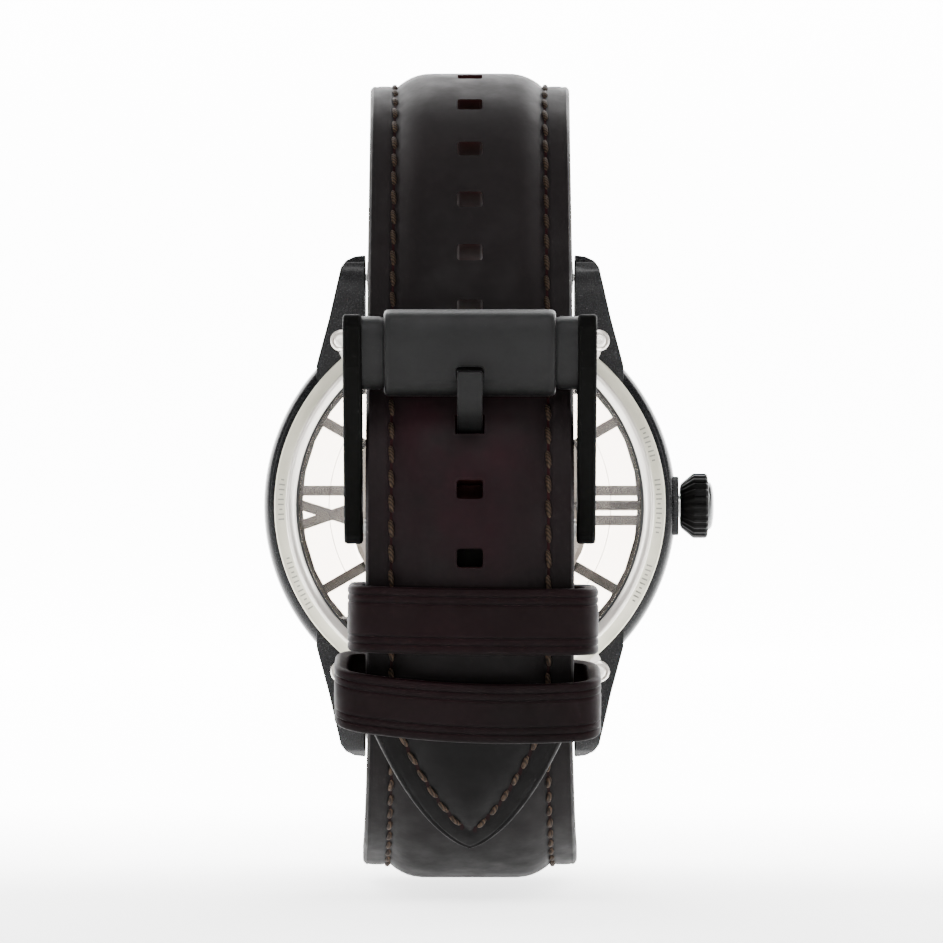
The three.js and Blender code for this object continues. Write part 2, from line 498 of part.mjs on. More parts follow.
const clock = (angle, r, side = 0) => [
  r * Math.sin(angle * deg) + side * Math.cos(angle * deg),
  -r * Math.cos(angle * deg) + side * Math.sin(angle * deg),
];
function hand(angle, length, tail, width, hub, y0, y1) {
  return join(discY(hub, y0, y1, 20), prismY([
    clock(angle, -tail, -width * 0.35), clock(angle, length * 0.45, -width / 2),
    clock(angle, length, -width * 0.12), clock(angle, length, width * 0.12),
    clock(angle, length * 0.45, width / 2), clock(angle, -tail, width * 0.35),
  ], y0, y1));
}
const HOUR_Y = DIAL[1] + 0.4;
const MINUTE_Y = DIAL[1] + 0.8;
const SECOND_Y = DIAL[1] + 1.18;
place("hour_hand", "black",
  cut(hand(15, 8.6, 2.4, 1.9, 1.9, HOUR_Y, HOUR_Y + 0.2), discY(1.23, 8, 10, 18)));
place("minute_hand", "black",
  cut(hand(180, 13.2, 2.8, 1.5, 1.5, MINUTE_Y, MINUTE_Y + 0.18), discY(0.88, 8, 10, 16)));
place("second_hand", "steel",
  cut(hand(0, 14, 4.2, 0.45, 0.75, SECOND_Y, SECOND_Y + 0.12), discY(0.25, 9, 11, 8)));

// Winding rotor on its post.
place("rotor_post", "steel", join(discY(0.5, 1.35, BRIDGE[0] - 0.02, 14), discY(1.3, 1.2, 1.4, 18)));
const web = sector(1.6, 10.5, 192, 348, 12);
place("rotor", "steel", cut(join(ring(0.58, 2.2, 1.45, 2.35, 24), prismY(web, 1.6, 1.9),
  prismY(sector(9.4, 12.4, 188, 352, 14), 1.5, 2.45)),
prismY(sector(3.4, 8.2, 205, 262, 6), 1, 3), prismY(sector(3.4, 8.2, 278, 335, 6), 1, 3)));

// The strap path: [depth towards the wrist, height, heading].
function path(start, heading, bends) {
  let [p, q] = start;
  let h = heading * deg;
  let s = 0;
  const stations = [{ s, p, q, h }];
  for (const [length, turn] of bends.filter((bend) => bend[0] > 0)) {
    const n = Math.max(2, Math.round(length / 3));
    for (let i = 0; i < n; i++) {
      const half = h + (turn * deg) / n / 2;
      p += (length / n) * Math.cos(half);
      q += (length / n) * Math.sin(half);
      h += (turn * deg) / n;
      s += length / n;
      stations.push({ s, p, q, h });
    }
  }
  return stations;
}
const lift = (station, side, n) => [
  station.p - side * n * Math.sin(station.h),
  station.q + side * n * Math.cos(station.h),
];
// A lofted band: section points are [across, outward].
function loft(stations, side, section) {
  const rings = stations.map((st) => section(st).map(([x, n]) => {
    const [p, q] = lift(st, side, n);
    return [x, -p, q];
  }));
  const count = rings[0].length;
  const points = rings.flat();
  const faces = [];
  for (let i = 0; i + 1 < rings.length; i++) {
    for (let j = 0; j < count; j++) {
      const a = i * count + j;
      const b = i * count + ((j + 1) % count);
      faces.push([a, b, b + count], [a, b + count, a + count]);
    }
  }
  for (const [index, flip] of [[0, true], [rings.length - 1, false]]) {
    const st = stations[index];
    points.push([0, -st.p, st.q]);
    const c = points.length - 1;
    for (let j = 0; j < count; j++) {
      const a = index * count + j;
      const b = index * count + ((j + 1) % count);
      faces.push(flip ? [c, b, a] : [c, a, b]);
    }
  }
  const build = (list) => {
    const v = new Float32Array(list.flat().flatMap((k) => points[k]));
    const g = new THREE.BufferGeometry();
    g.setAttribute("position", new THREE.BufferAttribute(v, 3));
    return solid(g);
  };
  const made = build(faces);
  return made.volume() > 0 ? made : build(faces.map(([a, b, c]) => [a, c, b]));
}
const section = (width, dome) => {
  const w = width / 2;
  const f = FLANGE / 2;
  return [
    [-w, -f], [w, -f], [w, f], [w - 2.1, f], [w - 3.6, f + dome * 0.8], [w - 6.5, f + dome],
    [-w + 6.5, f + dome], [-w + 3.6, f + dome * 0.8], [-w + 2.1, f], [-w, f],
  ];
};
const taper = (s, from, to) => STRAP_LUG_WIDTH
  + (STRAP_BUCKLE_WIDTH - STRAP_LUG_WIDTH) * Math.max(0, Math.min(1, (s - from) / (to - from)));

const longPath = path([BAR_DEPTH, BAR_HEIGHT], LONG_START, LONG_BENDS);
const longLength = longPath[longPath.length - 1].s;
const pinch = (s, at, reach) => Math.max(0, 1 - Math.abs(s - at) / reach);
function longSection(st) {
  const left = longLength - st.s;
  const u = Math.min(1, left / TIP_LENGTH);
  const shape = Math.max(0.05, Math.pow(u, 0.68));
  const width = taper(st.s, 0, 38) * shape;
  const dome = DOME * (1 - 0.65 * pinch(st.s, 72, 12)) * Math.min(1, 0.15 + u);
  if (u >= 1) return section(width, dome);
  const w = width / 2;
  const f = FLANGE / 2;
  return [
    [-w, -f], [w, -f], [w, f], [w * 0.8, f], [w * 0.6, f + dome * 0.8], [w * 0.35, f + dome],
    [-w * 0.35, f + dome], [-w * 0.6, f + dome * 0.8], [-w * 0.8, f], [-w, f],
  ];
}
// Ring positions on a path by arc length.
function at(stations, s) {
  const k = stations.findIndex((st) => st.s >= s);
  const b = stations[Math.max(1, k)];
  const a = stations[Math.max(1, k) - 1];
  const t = (s - a.s) / (b.s - a.s);
  return { s, p: a.p + t * (b.p - a.p), q: a.q + t * (b.q - a.q), h: a.h + t * (b.h - a.h) };
}
function holeAt(s) {
  const st = at(longPath, s);
  const g = new THREE.BoxGeometry(HOLE_WIDTH, 8, HOLE_LENGTH);
  g.rotateX(Math.atan2(Math.sin(st.h + Math.PI / 2), -Math.cos(st.h + Math.PI / 2)));
  g.translate(0, -st.p, st.q);
  return solid(g);
}
// The strap halves lie one on the other with this much between their middle surfaces.
const DRAWN_LAYERS = 3.04;
const SINK = FLANGE + DOME * 0.4 + 0.12 - DRAWN_LAYERS;
const OUT = FLANGE / 2 + DOME * 0.35 - 1.655;
const BUCKLE_BAR = [50.6 - SINK, -1.8 + RISE];
// A point of the buckle: it rides on the outer face of the strap and rises with the bars.
const rideOn = ([p, q]) => [p + 0.87 * OUT, q + 0.5 * OUT + RISE];
const BARREL_C = rideOn([55.1, 14.9]);
const yz = (points) => points.map(([p, q]) => [-p, q]);
// The tang path in depth and height, and a band of given thickness around it.
const TANG = [
  [BUCKLE_BAR[0] + 1.3, BUCKLE_BAR[1] + 1], [51.4, 2.2 + RISE], [51.5, 5.2 + RISE],
  ...[[52.5, 7.3], [54.7, 8.7], [56.6, 10.0], [57.3, 11.6], [57.5, 13.1]].map(rideOn),
];
function band(points, thick) {
  const left = [];
  const right = [];
  points.forEach((p, i) => {
    const a = points[Math.max(0, i - 1)];
    const b = points[Math.min(points.length - 1, i + 1)];
    const k = thick / 2 / Math.hypot(b[0] - a[0], b[1] - a[1]);
    left.push([p[0] - (b[1] - a[1]) * k, p[1] + (b[0] - a[0]) * k]);
    right.unshift([p[0] + (b[1] - a[1]) * k, p[1] - (b[0] - a[0]) * k]);
  });
  return [...left, ...right];
}
const tangRoom = prismX(yz(band(TANG, 2.0)), -HOLE_WIDTH / 2, HOLE_WIDTH / 2);
const TANG_STATION = 78;
const FIRST_HOLE = TANG_STATION - 7 * HOLE_PITCH;
const holes = [0, 1, 2, 3, 4, 5, 6, 8, 9].map((i) => holeAt(FIRST_HOLE + HOLE_PITCH * i));
const lugLoop = (z) => rodX(1.9, -STRAP_LUG_WIDTH / 2, STRAP_LUG_WIDTH / 2, -BAR_DEPTH, z, 20);
const lugBore = (z) => rodX(0.95, -20, 20, -BAR_DEPTH, z, 14);
place("strap_long", "leather", cut(
  join(loft(longPath, 1, longSection), lugLoop(BAR_HEIGHT)), lugBore(BAR_HEIGHT), tangRoom, ...holes));

const shortPath = path([BAR_DEPTH, -BAR_HEIGHT], SHORT_START, SHORT_BENDS).map((st) => {
  const [p, q] = lift(st, -1, -SINK);
  return { ...st, p, q };
});
const shortLength = shortPath[shortPath.length - 1].s;
const shortSection = (st) => {
  const near = Math.max(0, Math.min(1, (st.s - (shortLength - 46)) / 14));
  return section(taper(st.s, 24, 55), DOME * (1 - 0.6 * near));
};
const barY = -BUCKLE_BAR[0];
place("strap_short", "leather", cut(
  join(loft(shortPath, -1, shortSection), lugLoop(-BAR_HEIGHT),
    rodX(1.6, -STRAP_BUCKLE_WIDTH / 2, STRAP_BUCKLE_WIDTH / 2, barY, BUCKLE_BAR[1], 20)),
  lugBore(-BAR_HEIGHT), rodX(0.9, -20, 20, barY, BUCKLE_BAR[1], 14),
  box(-TANG_WIDTH / 2 - 0.5, TANG_WIDTH / 2 + 0.5, barY - 4, barY + 4,
    BUCKLE_BAR[1] - 1.7, BUCKLE_BAR[1] + 4)));

// Spring bars.
function springBar(y, z, length, tip) {
  return join(rodX(0.85, -length / 2, length / 2, y, z, 14),
    rodX(0.42, -length / 2 - tip, length / 2 + tip, y, z, 10));
}
place("lug_spring_bar_6", "steel", springBar(-BAR_DEPTH, BAR_HEIGHT, LUG_GAP - 0.3, 0.9));
place("lug_spring_bar_12", "steel", springBar(-BAR_DEPTH, -BAR_HEIGHT, LUG_GAP - 0.3, 0.9));
place("buckle_spring_bar", "steel", springBar(barY, BUCKLE_BAR[1], BUCKLE_INNER - 0.2, 0.9));

// Buckle frame: two arms, end collars and a thick oval barrel with a seat for the tang.
const TILT = Math.atan2(BARREL_C[0] - BUCKLE_BAR[0], BARREL_C[1] - BUCKLE_BAR[1]);
function oval(a, b, x0, x1, count = 28) {
  return prismX(yz(Array.from({ length: count }, (_, i) => {
    const t = (2 * Math.PI * i) / count;
    const u = a * Math.cos(t);
    const v = b * Math.sin(t);
    return [
      BARREL_C[0] + u * Math.cos(TILT) + v * Math.sin(TILT),
      BARREL_C[1] - u * Math.sin(TILT) + v * Math.cos(TILT),
    ];
  })), x0, x1);
}
const [barP, barQ] = BUCKLE_BAR;
const armShape = [
  [barP - 1.4, barQ - 0.3], [barP - 0.9, barQ - 1.3], [barP + 0.7, barQ - 1.5], [barP + 1.6, barQ - 0.6],
  ...[[55.0, 7.5], [57.2, 13.5], [57.9, 17.4], [57.2, 18.5], [55.2, 18.5], [53.4, 16.6],
    [52.0, 10]].map(rideOn),
  [barP - 0.3, barQ + 4.8],
];
const IN = BUCKLE_INNER / 2;
const arm = (sx) =>
  prismX(yz(armShape), sx > 0 ? IN : -IN - BUCKLE_ARM, sx > 0 ? IN + BUCKLE_ARM : -IN);
place("buckle_frame", "black", cut(
  join(arm(-1), arm(1), oval(2.0, 3.5, -IN - 0.5, IN + 0.5),
    oval(2.35, 4.15, -BARREL_LENGTH / 2, BARREL_LENGTH / 2)),
  prismX(yz(band([...TANG.slice(4), rideOn([57.6, 13.6])], 1.5)),
    -TANG_WIDTH / 2 - 0.12, TANG_WIDTH / 2 + 0.12),
  rodX(0.5, -IN - 1.1, IN + 1.1, barY, BUCKLE_BAR[1], 12)));
place("buckle_tang", "black", cut(
  join(prismX(yz(band(TANG, 1.2)), -TANG_WIDTH / 2, TANG_WIDTH / 2),
    rodX(1.6, -TANG_WIDTH / 2, TANG_WIDTH / 2, barY, BUCKLE_BAR[1], 18)),
  rodX(0.9, -5, 5, barY, BUCKLE_BAR[1], 14)));

// Keepers: closed leather loops about both strap halves, square to the path's end arc.
const [END_LENGTH, END_TURN] = LONG_BENDS[LONG_BENDS.length - 1];
const ARC_R = END_LENGTH / (-END_TURN * deg);
const tipEnd = longPath[longPath.length - 1];
const ARC_C = lift(tipEnd, 1, -ARC_R);
const UNDER = ARC_R - DRAWN_LAYERS - SINK - FLANGE / 2 - 1.06;
const OVER = ARC_R + FLANGE / 2 + DOME;
function keeper(angle, length, sideGap, inner, outerR) {
  const w = STRAP_BUCKLE_WIDTH / 2 + KEEPER_THICK + sideGap;
  const t = KEEPER_THICK;
  const g0 = box(-w, w, -(outerR + t), -(inner - t), -length / 2, length / 2);
  const hole = box(-w + t, w - t, -outerR, -inner, -length, length);
  const body = cut(g0, hole);
  return body.rotate([angle, 0, 0]).translate([0, -ARC_C[0], ARC_C[1]]);
}
place("fixed_keeper", "keeper", keeper(9.6, 6.3, 0.8, UNDER, OVER + 0.27));
place("free_keeper", "keeper", keeper(24.3, 6.6, 1.45, UNDER, OVER + 0.7));

export default group;
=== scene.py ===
# %% [markdown]
# # A skeleton wristwatch with a buckled leather strap
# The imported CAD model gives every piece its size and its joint. This lesson puts the looks
# on top of it: a coated case with a steel back, a see-through movement, sewn leather, a
# buckle, and a small product table with lights and a camera. Anything that is only seen,
# such as a seam or a soft edge, is modelled here and not in the CAD.
#
# Lengths in the lists are millimetres, because the drawings are. They are multiplied by MM
# at the moment they become vertices. X runs to the crown, Y out of the dial, Z up.

# %% Load the frame
import bpy
import bmesh
import math
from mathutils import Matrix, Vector


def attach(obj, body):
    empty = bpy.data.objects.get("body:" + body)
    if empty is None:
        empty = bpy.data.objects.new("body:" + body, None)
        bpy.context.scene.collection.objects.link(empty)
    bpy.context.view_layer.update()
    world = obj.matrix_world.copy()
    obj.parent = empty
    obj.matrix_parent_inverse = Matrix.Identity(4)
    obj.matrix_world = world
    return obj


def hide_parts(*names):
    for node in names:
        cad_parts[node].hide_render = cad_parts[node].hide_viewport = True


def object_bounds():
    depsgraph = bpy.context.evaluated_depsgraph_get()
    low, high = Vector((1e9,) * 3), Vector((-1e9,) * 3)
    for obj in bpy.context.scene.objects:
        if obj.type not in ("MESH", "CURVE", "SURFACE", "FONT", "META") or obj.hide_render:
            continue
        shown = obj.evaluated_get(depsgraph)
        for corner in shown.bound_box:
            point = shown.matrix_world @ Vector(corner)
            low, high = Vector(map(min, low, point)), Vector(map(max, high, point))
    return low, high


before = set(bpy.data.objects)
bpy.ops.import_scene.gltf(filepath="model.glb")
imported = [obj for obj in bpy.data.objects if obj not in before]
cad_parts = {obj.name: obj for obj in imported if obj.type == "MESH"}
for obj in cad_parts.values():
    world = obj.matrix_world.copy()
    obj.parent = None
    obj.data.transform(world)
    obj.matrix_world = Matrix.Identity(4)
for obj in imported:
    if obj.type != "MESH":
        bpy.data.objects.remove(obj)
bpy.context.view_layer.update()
MM = 0.001
DEG = math.pi / 180

# %% [markdown]
# ## Building blocks of a material
# No real surface is one flat colour. Pictures could carry the wear, but they need unwrapped
# meshes and they show seams. Noise measured in the object's own space needs neither and
# stays put when a joint moves the piece, so every finish starts from these small helpers.

# %% Node helpers
def nodes_of(name):
    m = bpy.data.materials.new(name)
    m.use_nodes = True
    nt = m.node_tree
    position = nt.nodes.new("ShaderNodeTexCoord").outputs["Object"]
    return m, nt, nt.nodes["Principled BSDF"], position

def noise(nt, vec, scale, detail=3.0):
    n = nt.nodes.new("ShaderNodeTexNoise")
    n.inputs["Scale"].default_value = scale
    n.inputs["Detail"].default_value = detail
    n.inputs["Roughness"].default_value = 0.55
    nt.links.new(vec, n.inputs["Vector"])
    return n.outputs["Fac"]

def ramp(nt, fac, stops):
    # A colour for each value: stops are pairs of a place from 0 to 1 and a colour.
    r = nt.nodes.new("ShaderNodeValToRGB")
    for element, (pos, col) in zip(r.color_ramp.elements, stops):
        element.position = pos
        element.color = (*col, 1)
    nt.links.new(fac, r.inputs["Fac"])
    return r.outputs["Color"]

def span(nt, fac, lo, hi, a=0.3, b=0.7):
    # Maps the values a..b to lo..hi. Noise mostly lies between 0.3 and 0.7.
    r = nt.nodes.new("ShaderNodeMapRange")
    r.inputs["From Min"].default_value = a
    r.inputs["From Max"].default_value = b
    r.inputs["To Min"].default_value = lo
    r.inputs["To Max"].default_value = hi
    nt.links.new(fac, r.inputs["Value"])
    return r.outputs["Result"]

def product(nt, a, b):
    n = nt.nodes.new("ShaderNodeMath")
    n.operation = "MULTIPLY"
    nt.links.new(a, n.inputs[0])
    nt.links.new(b, n.inputs[1])
    return n.outputs[0]

def parts_of(nt, vec):
    n = nt.nodes.new("ShaderNodeSeparateXYZ")
    nt.links.new(vec, n.inputs["Vector"])
    return n.outputs

def bump(nt, bsdf, height, strength, distance, normal=None):
    b = nt.nodes.new("ShaderNodeBump")
    b.inputs["Strength"].default_value = strength
    b.inputs["Distance"].default_value = distance
    nt.links.new(height, b.inputs["Height"])
    if normal is not None:
        nt.links.new(normal, b.inputs["Normal"])
    nt.links.new(b.outputs["Normal"], bsdf.inputs["Normal"])
    return b.outputs["Normal"]

def with_painted_shade_below(nt, color, low):
    # Painted shade: multiplies a colour by a value that falls to low where the surface faces down.
    normal = nt.nodes.new("ShaderNodeNewGeometry").outputs["Normal"]
    mix = nt.nodes.new("ShaderNodeMix")
    mix.data_type = "RGBA"
    mix.blend_type = "MULTIPLY"
    mix.inputs["Factor"].default_value = 1.0
    nt.links.new(color, mix.inputs["A"])
    nt.links.new(span(nt, parts_of(nt, normal)["Z"], low, 1.0, -0.55, 0.35), mix.inputs["B"])
    return mix.outputs["Result"]
print("node helpers ready")

# %% [markdown]
# ## Metal and lacquer
# The case and buckle carry a hard black coat, the back is part blasted and part polished,
# and the movement is plated or gilt. All are one recipe: two close tones, an uneven
# roughness and a very shallow bump. A coat is a dielectric, so its metallic value is 0 and
# its level of reflection is given; bare metal keeps the usual level. One recipe with
# a few numbers is easier to tune side by side than twenty node trees drawn by hand.

# %% Metal recipe
def metal(name, dark, light, rough, spread=0.08, metallic=1.0, grain=2500, stretch=None,
          depth=2e-6, coat=0.0, low=1.0, level=None):
    m, nt, bsdf, vec = nodes_of(name)
    brushing = vec
    if stretch:
        mapping = nt.nodes.new("ShaderNodeMapping")
        mapping.inputs["Scale"].default_value = stretch
        nt.links.new(vec, mapping.inputs["Vector"])
        brushing = mapping.outputs["Vector"]
    color = ramp(nt, noise(nt, vec, 300), [(0.3, dark), (0.7, light)])
    # Painted shade: with low below 1 the colour darkens on faces that point down.
    if low < 1:
        color = with_painted_shade_below(nt, color, low)
    nt.links.new(color, bsdf.inputs["Base Color"])
    uneven = span(nt, noise(nt, brushing, grain), rough - spread, rough + spread)
    nt.links.new(uneven, bsdf.inputs["Roughness"])
    bump(nt, bsdf, noise(nt, brushing, grain, 2.0), 0.35, depth)
    bsdf.inputs["Metallic"].default_value = metallic
    bsdf.inputs["Coat Weight"].default_value = coat
    bsdf.inputs["Coat Roughness"].default_value = 0.12
    if level is not None:
        bsdf.inputs["Specular IOR Level"].default_value = level
    return m

case_black = metal("case black coat", (0.004, 0.004, 0.0045), (0.006, 0.006, 0.0065), 0.26, 0.04,
                   0.0, grain=7000, coat=0.06, depth=3e-8, level=0.16)
# Painted shade: the buckle's coat falls to low on faces that point down, so the barrel is darker
# underneath.
buckle_black = metal("satin black coat", (0.0086, 0.0087, 0.0090), (0.0118, 0.0119, 0.0123),
                     0.52, 0.05, 0.0, grain=4200, depth=8e-7, low=0.06, level=0.13)
# Painted shade: the lugs wear the case's coat; this copy is darker, and darker still on faces that
# point down.
lug_black_painted_shade = metal("lug black coat, painted shade", (0.0011, 0.0011, 0.0011), (0.0018, 0.0018, 0.0018),
                  0.55, 0.05, 0.0, grain=7000, depth=5e-8, low=0.12, level=0.03)
arm_black = metal("matt black coat", (0.0010, 0.0010, 0.0009), (0.0017, 0.0017, 0.0016),
                  0.60, 0.05, 0.0, grain=4200, depth=8e-7, level=0.03)
crown_black = metal("crown black coat", (0.0010, 0.0010, 0.0010), (0.0017, 0.0017, 0.0016),
                    0.46, 0.05, 0.0, grain=4200, depth=8e-7, level=0.06)
steel_matte = metal("blasted steel", (0.44, 0.425, 0.335), (0.55, 0.53, 0.43), 0.42, 0.06, 0.45,
                    grain=6000, depth=8e-7)
steel_bright = metal("polished steel", (0.80, 0.76, 0.70), (0.90, 0.86, 0.80), 0.20, 0.05, 0.6,
                     depth=5e-7)
cap_grey = metal("grey polished cap", (0.09, 0.092, 0.092), (0.15, 0.153, 0.152), 0.30, 0.05)
brushed = metal("brushed steel", (0.40, 0.40, 0.395), (0.54, 0.54, 0.53), 0.32,
                stretch=(1, 1, 14))
nickel = metal("nickel plate", (0.30, 0.29, 0.27), (0.42, 0.41, 0.385), 0.34,
               stretch=(18, 1, 1), grain=900, depth=6e-6)
brass = metal("gilt brass", (0.40, 0.26, 0.09), (0.56, 0.40, 0.16), 0.30, 0.07)
blued = metal("blued steel", (0.02, 0.035, 0.12), (0.05, 0.07, 0.22), 0.22, 0.05)
mark_grey = metal("dark grey lacquer", (0.030, 0.030, 0.029), (0.040, 0.040, 0.038), 0.5, 0.06,
                  0.0, level=0.1)
hand_black = metal("hand black", (0.010, 0.010, 0.011), (0.018, 0.018, 0.02), 0.28, 0.05, 0.3)
engraved = metal("engraved grey", (0.16, 0.155, 0.14), (0.24, 0.235, 0.21), 0.6, 0.08, 0.2)
rubber = metal("seal rubber", (0.012, 0.012, 0.012), (0.022, 0.022, 0.022), 0.75, 0.08, 0.0,
               level=0.3)
stem_grey = metal("grey steel stem", (0.032, 0.032, 0.031), (0.044, 0.044, 0.042), 0.4, 0.06,
                  0.0, level=0.3)
print("metals", len(bpy.data.materials))

# %% [markdown]
# ## Glass and clear plastic
# Two glasses close the case, and the movement sits in a clear holder behind a clear
# dial. A full glass shader bends light and turns dark through so many thin layers at a low
# sample count. A mix of a tinted transparent shader and a thin gloss lets the movement read
# clearly, and a little white haze stands for moulded plastic.

# %% Clear recipe
def clear(name, tint, gloss, haze=0.0):
    m, nt, bsdf, vec = nodes_of(name)
    lighter = tuple(min(1, c * 1.01) for c in tint)
    see = nt.nodes.new("ShaderNodeBsdfTransparent")
    nt.links.new(ramp(nt, noise(nt, vec, 90), [(0.2, tint), (0.8, lighter)]), see.inputs["Color"])
    shine = nt.nodes.new("ShaderNodeBsdfGlossy")
    shine.inputs["Roughness"].default_value = 0.03
    first = nt.nodes.new("ShaderNodeMixShader")
    share = span(nt, noise(nt, vec, 200), gloss * 0.85, gloss * 1.15)
    nt.links.new(share, first.inputs["Fac"])
    nt.links.new(see.outputs[0], first.inputs[1])
    nt.links.new(shine.outputs[0], first.inputs[2])
    bsdf.inputs["Base Color"].default_value = (0.9, 0.88, 0.85, 1)
    bsdf.inputs["Roughness"].default_value = 0.25
    second = nt.nodes.new("ShaderNodeMixShader")
    second.inputs["Fac"].default_value = haze
    nt.links.new(first.outputs[0], second.inputs[1])
    nt.links.new(bsdf.outputs[0], second.inputs[2])
    nt.links.new(second.outputs[0], nt.nodes["Material Output"].inputs["Surface"])
    return m

glass = clear("watch glass", (0.972, 0.940, 0.912), 0.02)
plastic = clear("clear holder", (0.955, 0.95, 0.94), 0.03, 0.05)
dial_clear = clear("clear dial", (0.985, 0.972, 0.960), 0.01)
front_clear = clear("front glass", (0.97, 0.965, 0.955), 0.008)
print("materials", len(bpy.data.materials))

# %% [markdown]
# ## Leather and thread
# The strap is dark grained leather with a red-brown cut edge and a tan lining. Grain could
# be sculpted, but at this size a cell pattern under a softer noise, both as bump, reads the
# same. Where the long half is bent hard the dye opens to a red tone: the tint is kept to a
# band of the strap, from the four numbers in tint_at, and away from its edges. The thread
# is a diagonal wave, which looks like twisted strands.

# %% Leather and thread recipes
def bent_band(nt, vec, place):
    # 1 inside the bent part of the strap, in metres up and across, and 0 outside it.
    x, _, z = parts_of(nt, vec)
    below = span(nt, z, 0.0, 1.0, place[0], place[1])
    above = span(nt, z, 1.0, 0.0, place[2], place[3])
    side = nt.nodes.new("ShaderNodeMath")
    side.operation = "ABSOLUTE"
    nt.links.new(x, side.inputs[0])
    middle = span(nt, side.outputs[0], 1.0, 0.15, 0.003, 0.0085)
    cloud = span(nt, noise(nt, vec, 160), 0.10, 0.85)
    return product(nt, product(nt, product(nt, below, above), middle), cloud)

def leather(name, dark, mid, tint, rough=0.55, tint_at=None, low=0.45):
    m, nt, bsdf, vec = nodes_of(name)
    base = ramp(nt, noise(nt, vec, 110, 4.0), [(0.3, dark), (0.72, mid)])
    mix = nt.nodes.new("ShaderNodeMix")
    mix.data_type = "RGBA"
    nt.links.new(base, mix.inputs["A"])
    mix.inputs["B"].default_value = (*tint, 1)
    if tint_at:
        amount = bent_band(nt, vec, tint_at)
    else:
        amount = span(nt, noise(nt, vec, 70), 0.0, 0.7)
    nt.links.new(amount, mix.inputs["Factor"])
    # Painted shade: the colour darkens on faces that point down, falling to low.
    nt.links.new(with_painted_shade_below(nt, mix.outputs["Result"], low), bsdf.inputs["Base Color"])
    cells = nt.nodes.new("ShaderNodeTexVoronoi")
    cells.feature = "F1"
    cells.inputs["Scale"].default_value = 1900
    nt.links.new(vec, cells.inputs["Vector"])
    pore_depth = 1.6e-5
    first = bump(nt, bsdf, cells.outputs["Distance"], 0.22, pore_depth)
    bump(nt, bsdf, noise(nt, vec, 420, 5.0), 0.25, pore_depth * 2, first)
    uneven = span(nt, noise(nt, vec, 380, 4.0), rough - 0.07, rough + 0.09)
    nt.links.new(uneven, bsdf.inputs["Roughness"])
    bsdf.inputs["Specular IOR Level"].default_value = 0.05
    return m

def thread_material():
    m, nt, bsdf, vec = nodes_of("waxed thread")
    twist = nt.nodes.new("ShaderNodeTexWave")
    twist.bands_direction = "DIAGONAL"
    twist.inputs["Scale"].default_value = 1500
    twist.inputs["Distortion"].default_value = 1.5
    nt.links.new(vec, twist.inputs["Vector"])
    strands = [(0.1, (0.009, 0.0055, 0.0036)), (0.9, (0.031, 0.020, 0.0125))]
    nt.links.new(ramp(nt, twist.outputs["Fac"], strands), bsdf.inputs["Base Color"])
    bump(nt, bsdf, twist.outputs["Fac"], 0.5, 4e-5)
    bsdf.inputs["Roughness"].default_value = 0.7
    bsdf.inputs["Specular IOR Level"].default_value = 0.1
    return m

# Painted shade on every leather: its colour falls to low on faces that point down, 0.45 unless given.
strap_skin = leather("strap leather", (0.0048, 0.0041, 0.0042), (0.0080, 0.0070, 0.0071),
                     (0.0086, 0.0060, 0.0064))
# The long half carries deeper painted shade below (low 0.12) and a red band where it bends.
long_skin = leather("long strap leather", (0.0054, 0.0043, 0.0045), (0.0089, 0.0071, 0.0074),
                    (0.0150, 0.0036, 0.0060), tint_at=(-0.012, 0.000, 0.009, 0.014), low=0.12)
keeper_skin = leather("keeper leather", (0.0032, 0.0015, 0.0017), (0.0054, 0.0025, 0.0029),
                      (0.0074, 0.0022, 0.0031), 0.6, low=0.35)
raw_edge = leather("cut leather edge", (0.012, 0.0028, 0.0030), (0.024, 0.0052, 0.0050),
                   (0.034, 0.0085, 0.0070), 0.6)
lining = leather("lining leather", (0.032, 0.014, 0.007), (0.052, 0.025, 0.012),
                 (0.040, 0.015, 0.009), 0.6)
painted_edge = leather("painted edge", (0.0060, 0.0048, 0.0048), (0.0105, 0.0084, 0.0084),
                       (0.010, 0.0060, 0.0060), 0.85, low=0.25)
thread = thread_material()
# Stitch holes: the cut leather's red-brown, darkened as painted shade of the hollow.
stitch_pit_shade = leather("stitch hole with painted shade", (0.0035, 0.0012, 0.0013), (0.009, 0.0022, 0.0025),
                     (0.014, 0.003, 0.004), 0.7)
print("materials", len(bpy.data.materials))

# %% [markdown]
# ## From vertices to an object
# Each piece is gathered in a bmesh, Blender's editable mesh in memory, and then written
# once. Smooth shading with an angle limit and a small bevel give machined edges their thin
# highlight; modelling each round would cost many faces.

# %% Object helpers
def plain(name, bm, *materials):
    me = bpy.data.meshes.new(name)
    bmesh.ops.recalc_face_normals(bm, faces=bm.faces)
    bm.to_mesh(me)
    bm.free()
    ob = bpy.data.objects.new(name, me)
    bpy.context.scene.collection.objects.link(ob)
    for m in materials:
        me.materials.append(m)
    return ob

def soften(ob, sharp):
    # Smooth shading everywhere, with edges steeper than sharp degrees kept crisp.
    for p in ob.data.polygons:
        p.use_smooth = True
    ob.data.set_sharp_from_angle(angle=sharp * DEG)

def bevel_edges(ob, width, segments, angle, harden):
    b = ob.modifiers.new("edge", "BEVEL")
    b.width = width * MM
    b.segments = segments
    b.limit_method = "ANGLE"
    b.angle_limit = angle * DEG
    b.harden_normals = harden

def as_object(name, bm, material, body, replaces=(), sharp=38, bevel=0.0, extra=()):
    ob = plain(name, bm, material, *extra)
    soften(ob, sharp)
    if bevel:
        bevel_edges(ob, bevel, 2, 32, True)
    if body:
        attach(ob, body)
    if replaces:
        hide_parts(*replaces)
    return ob

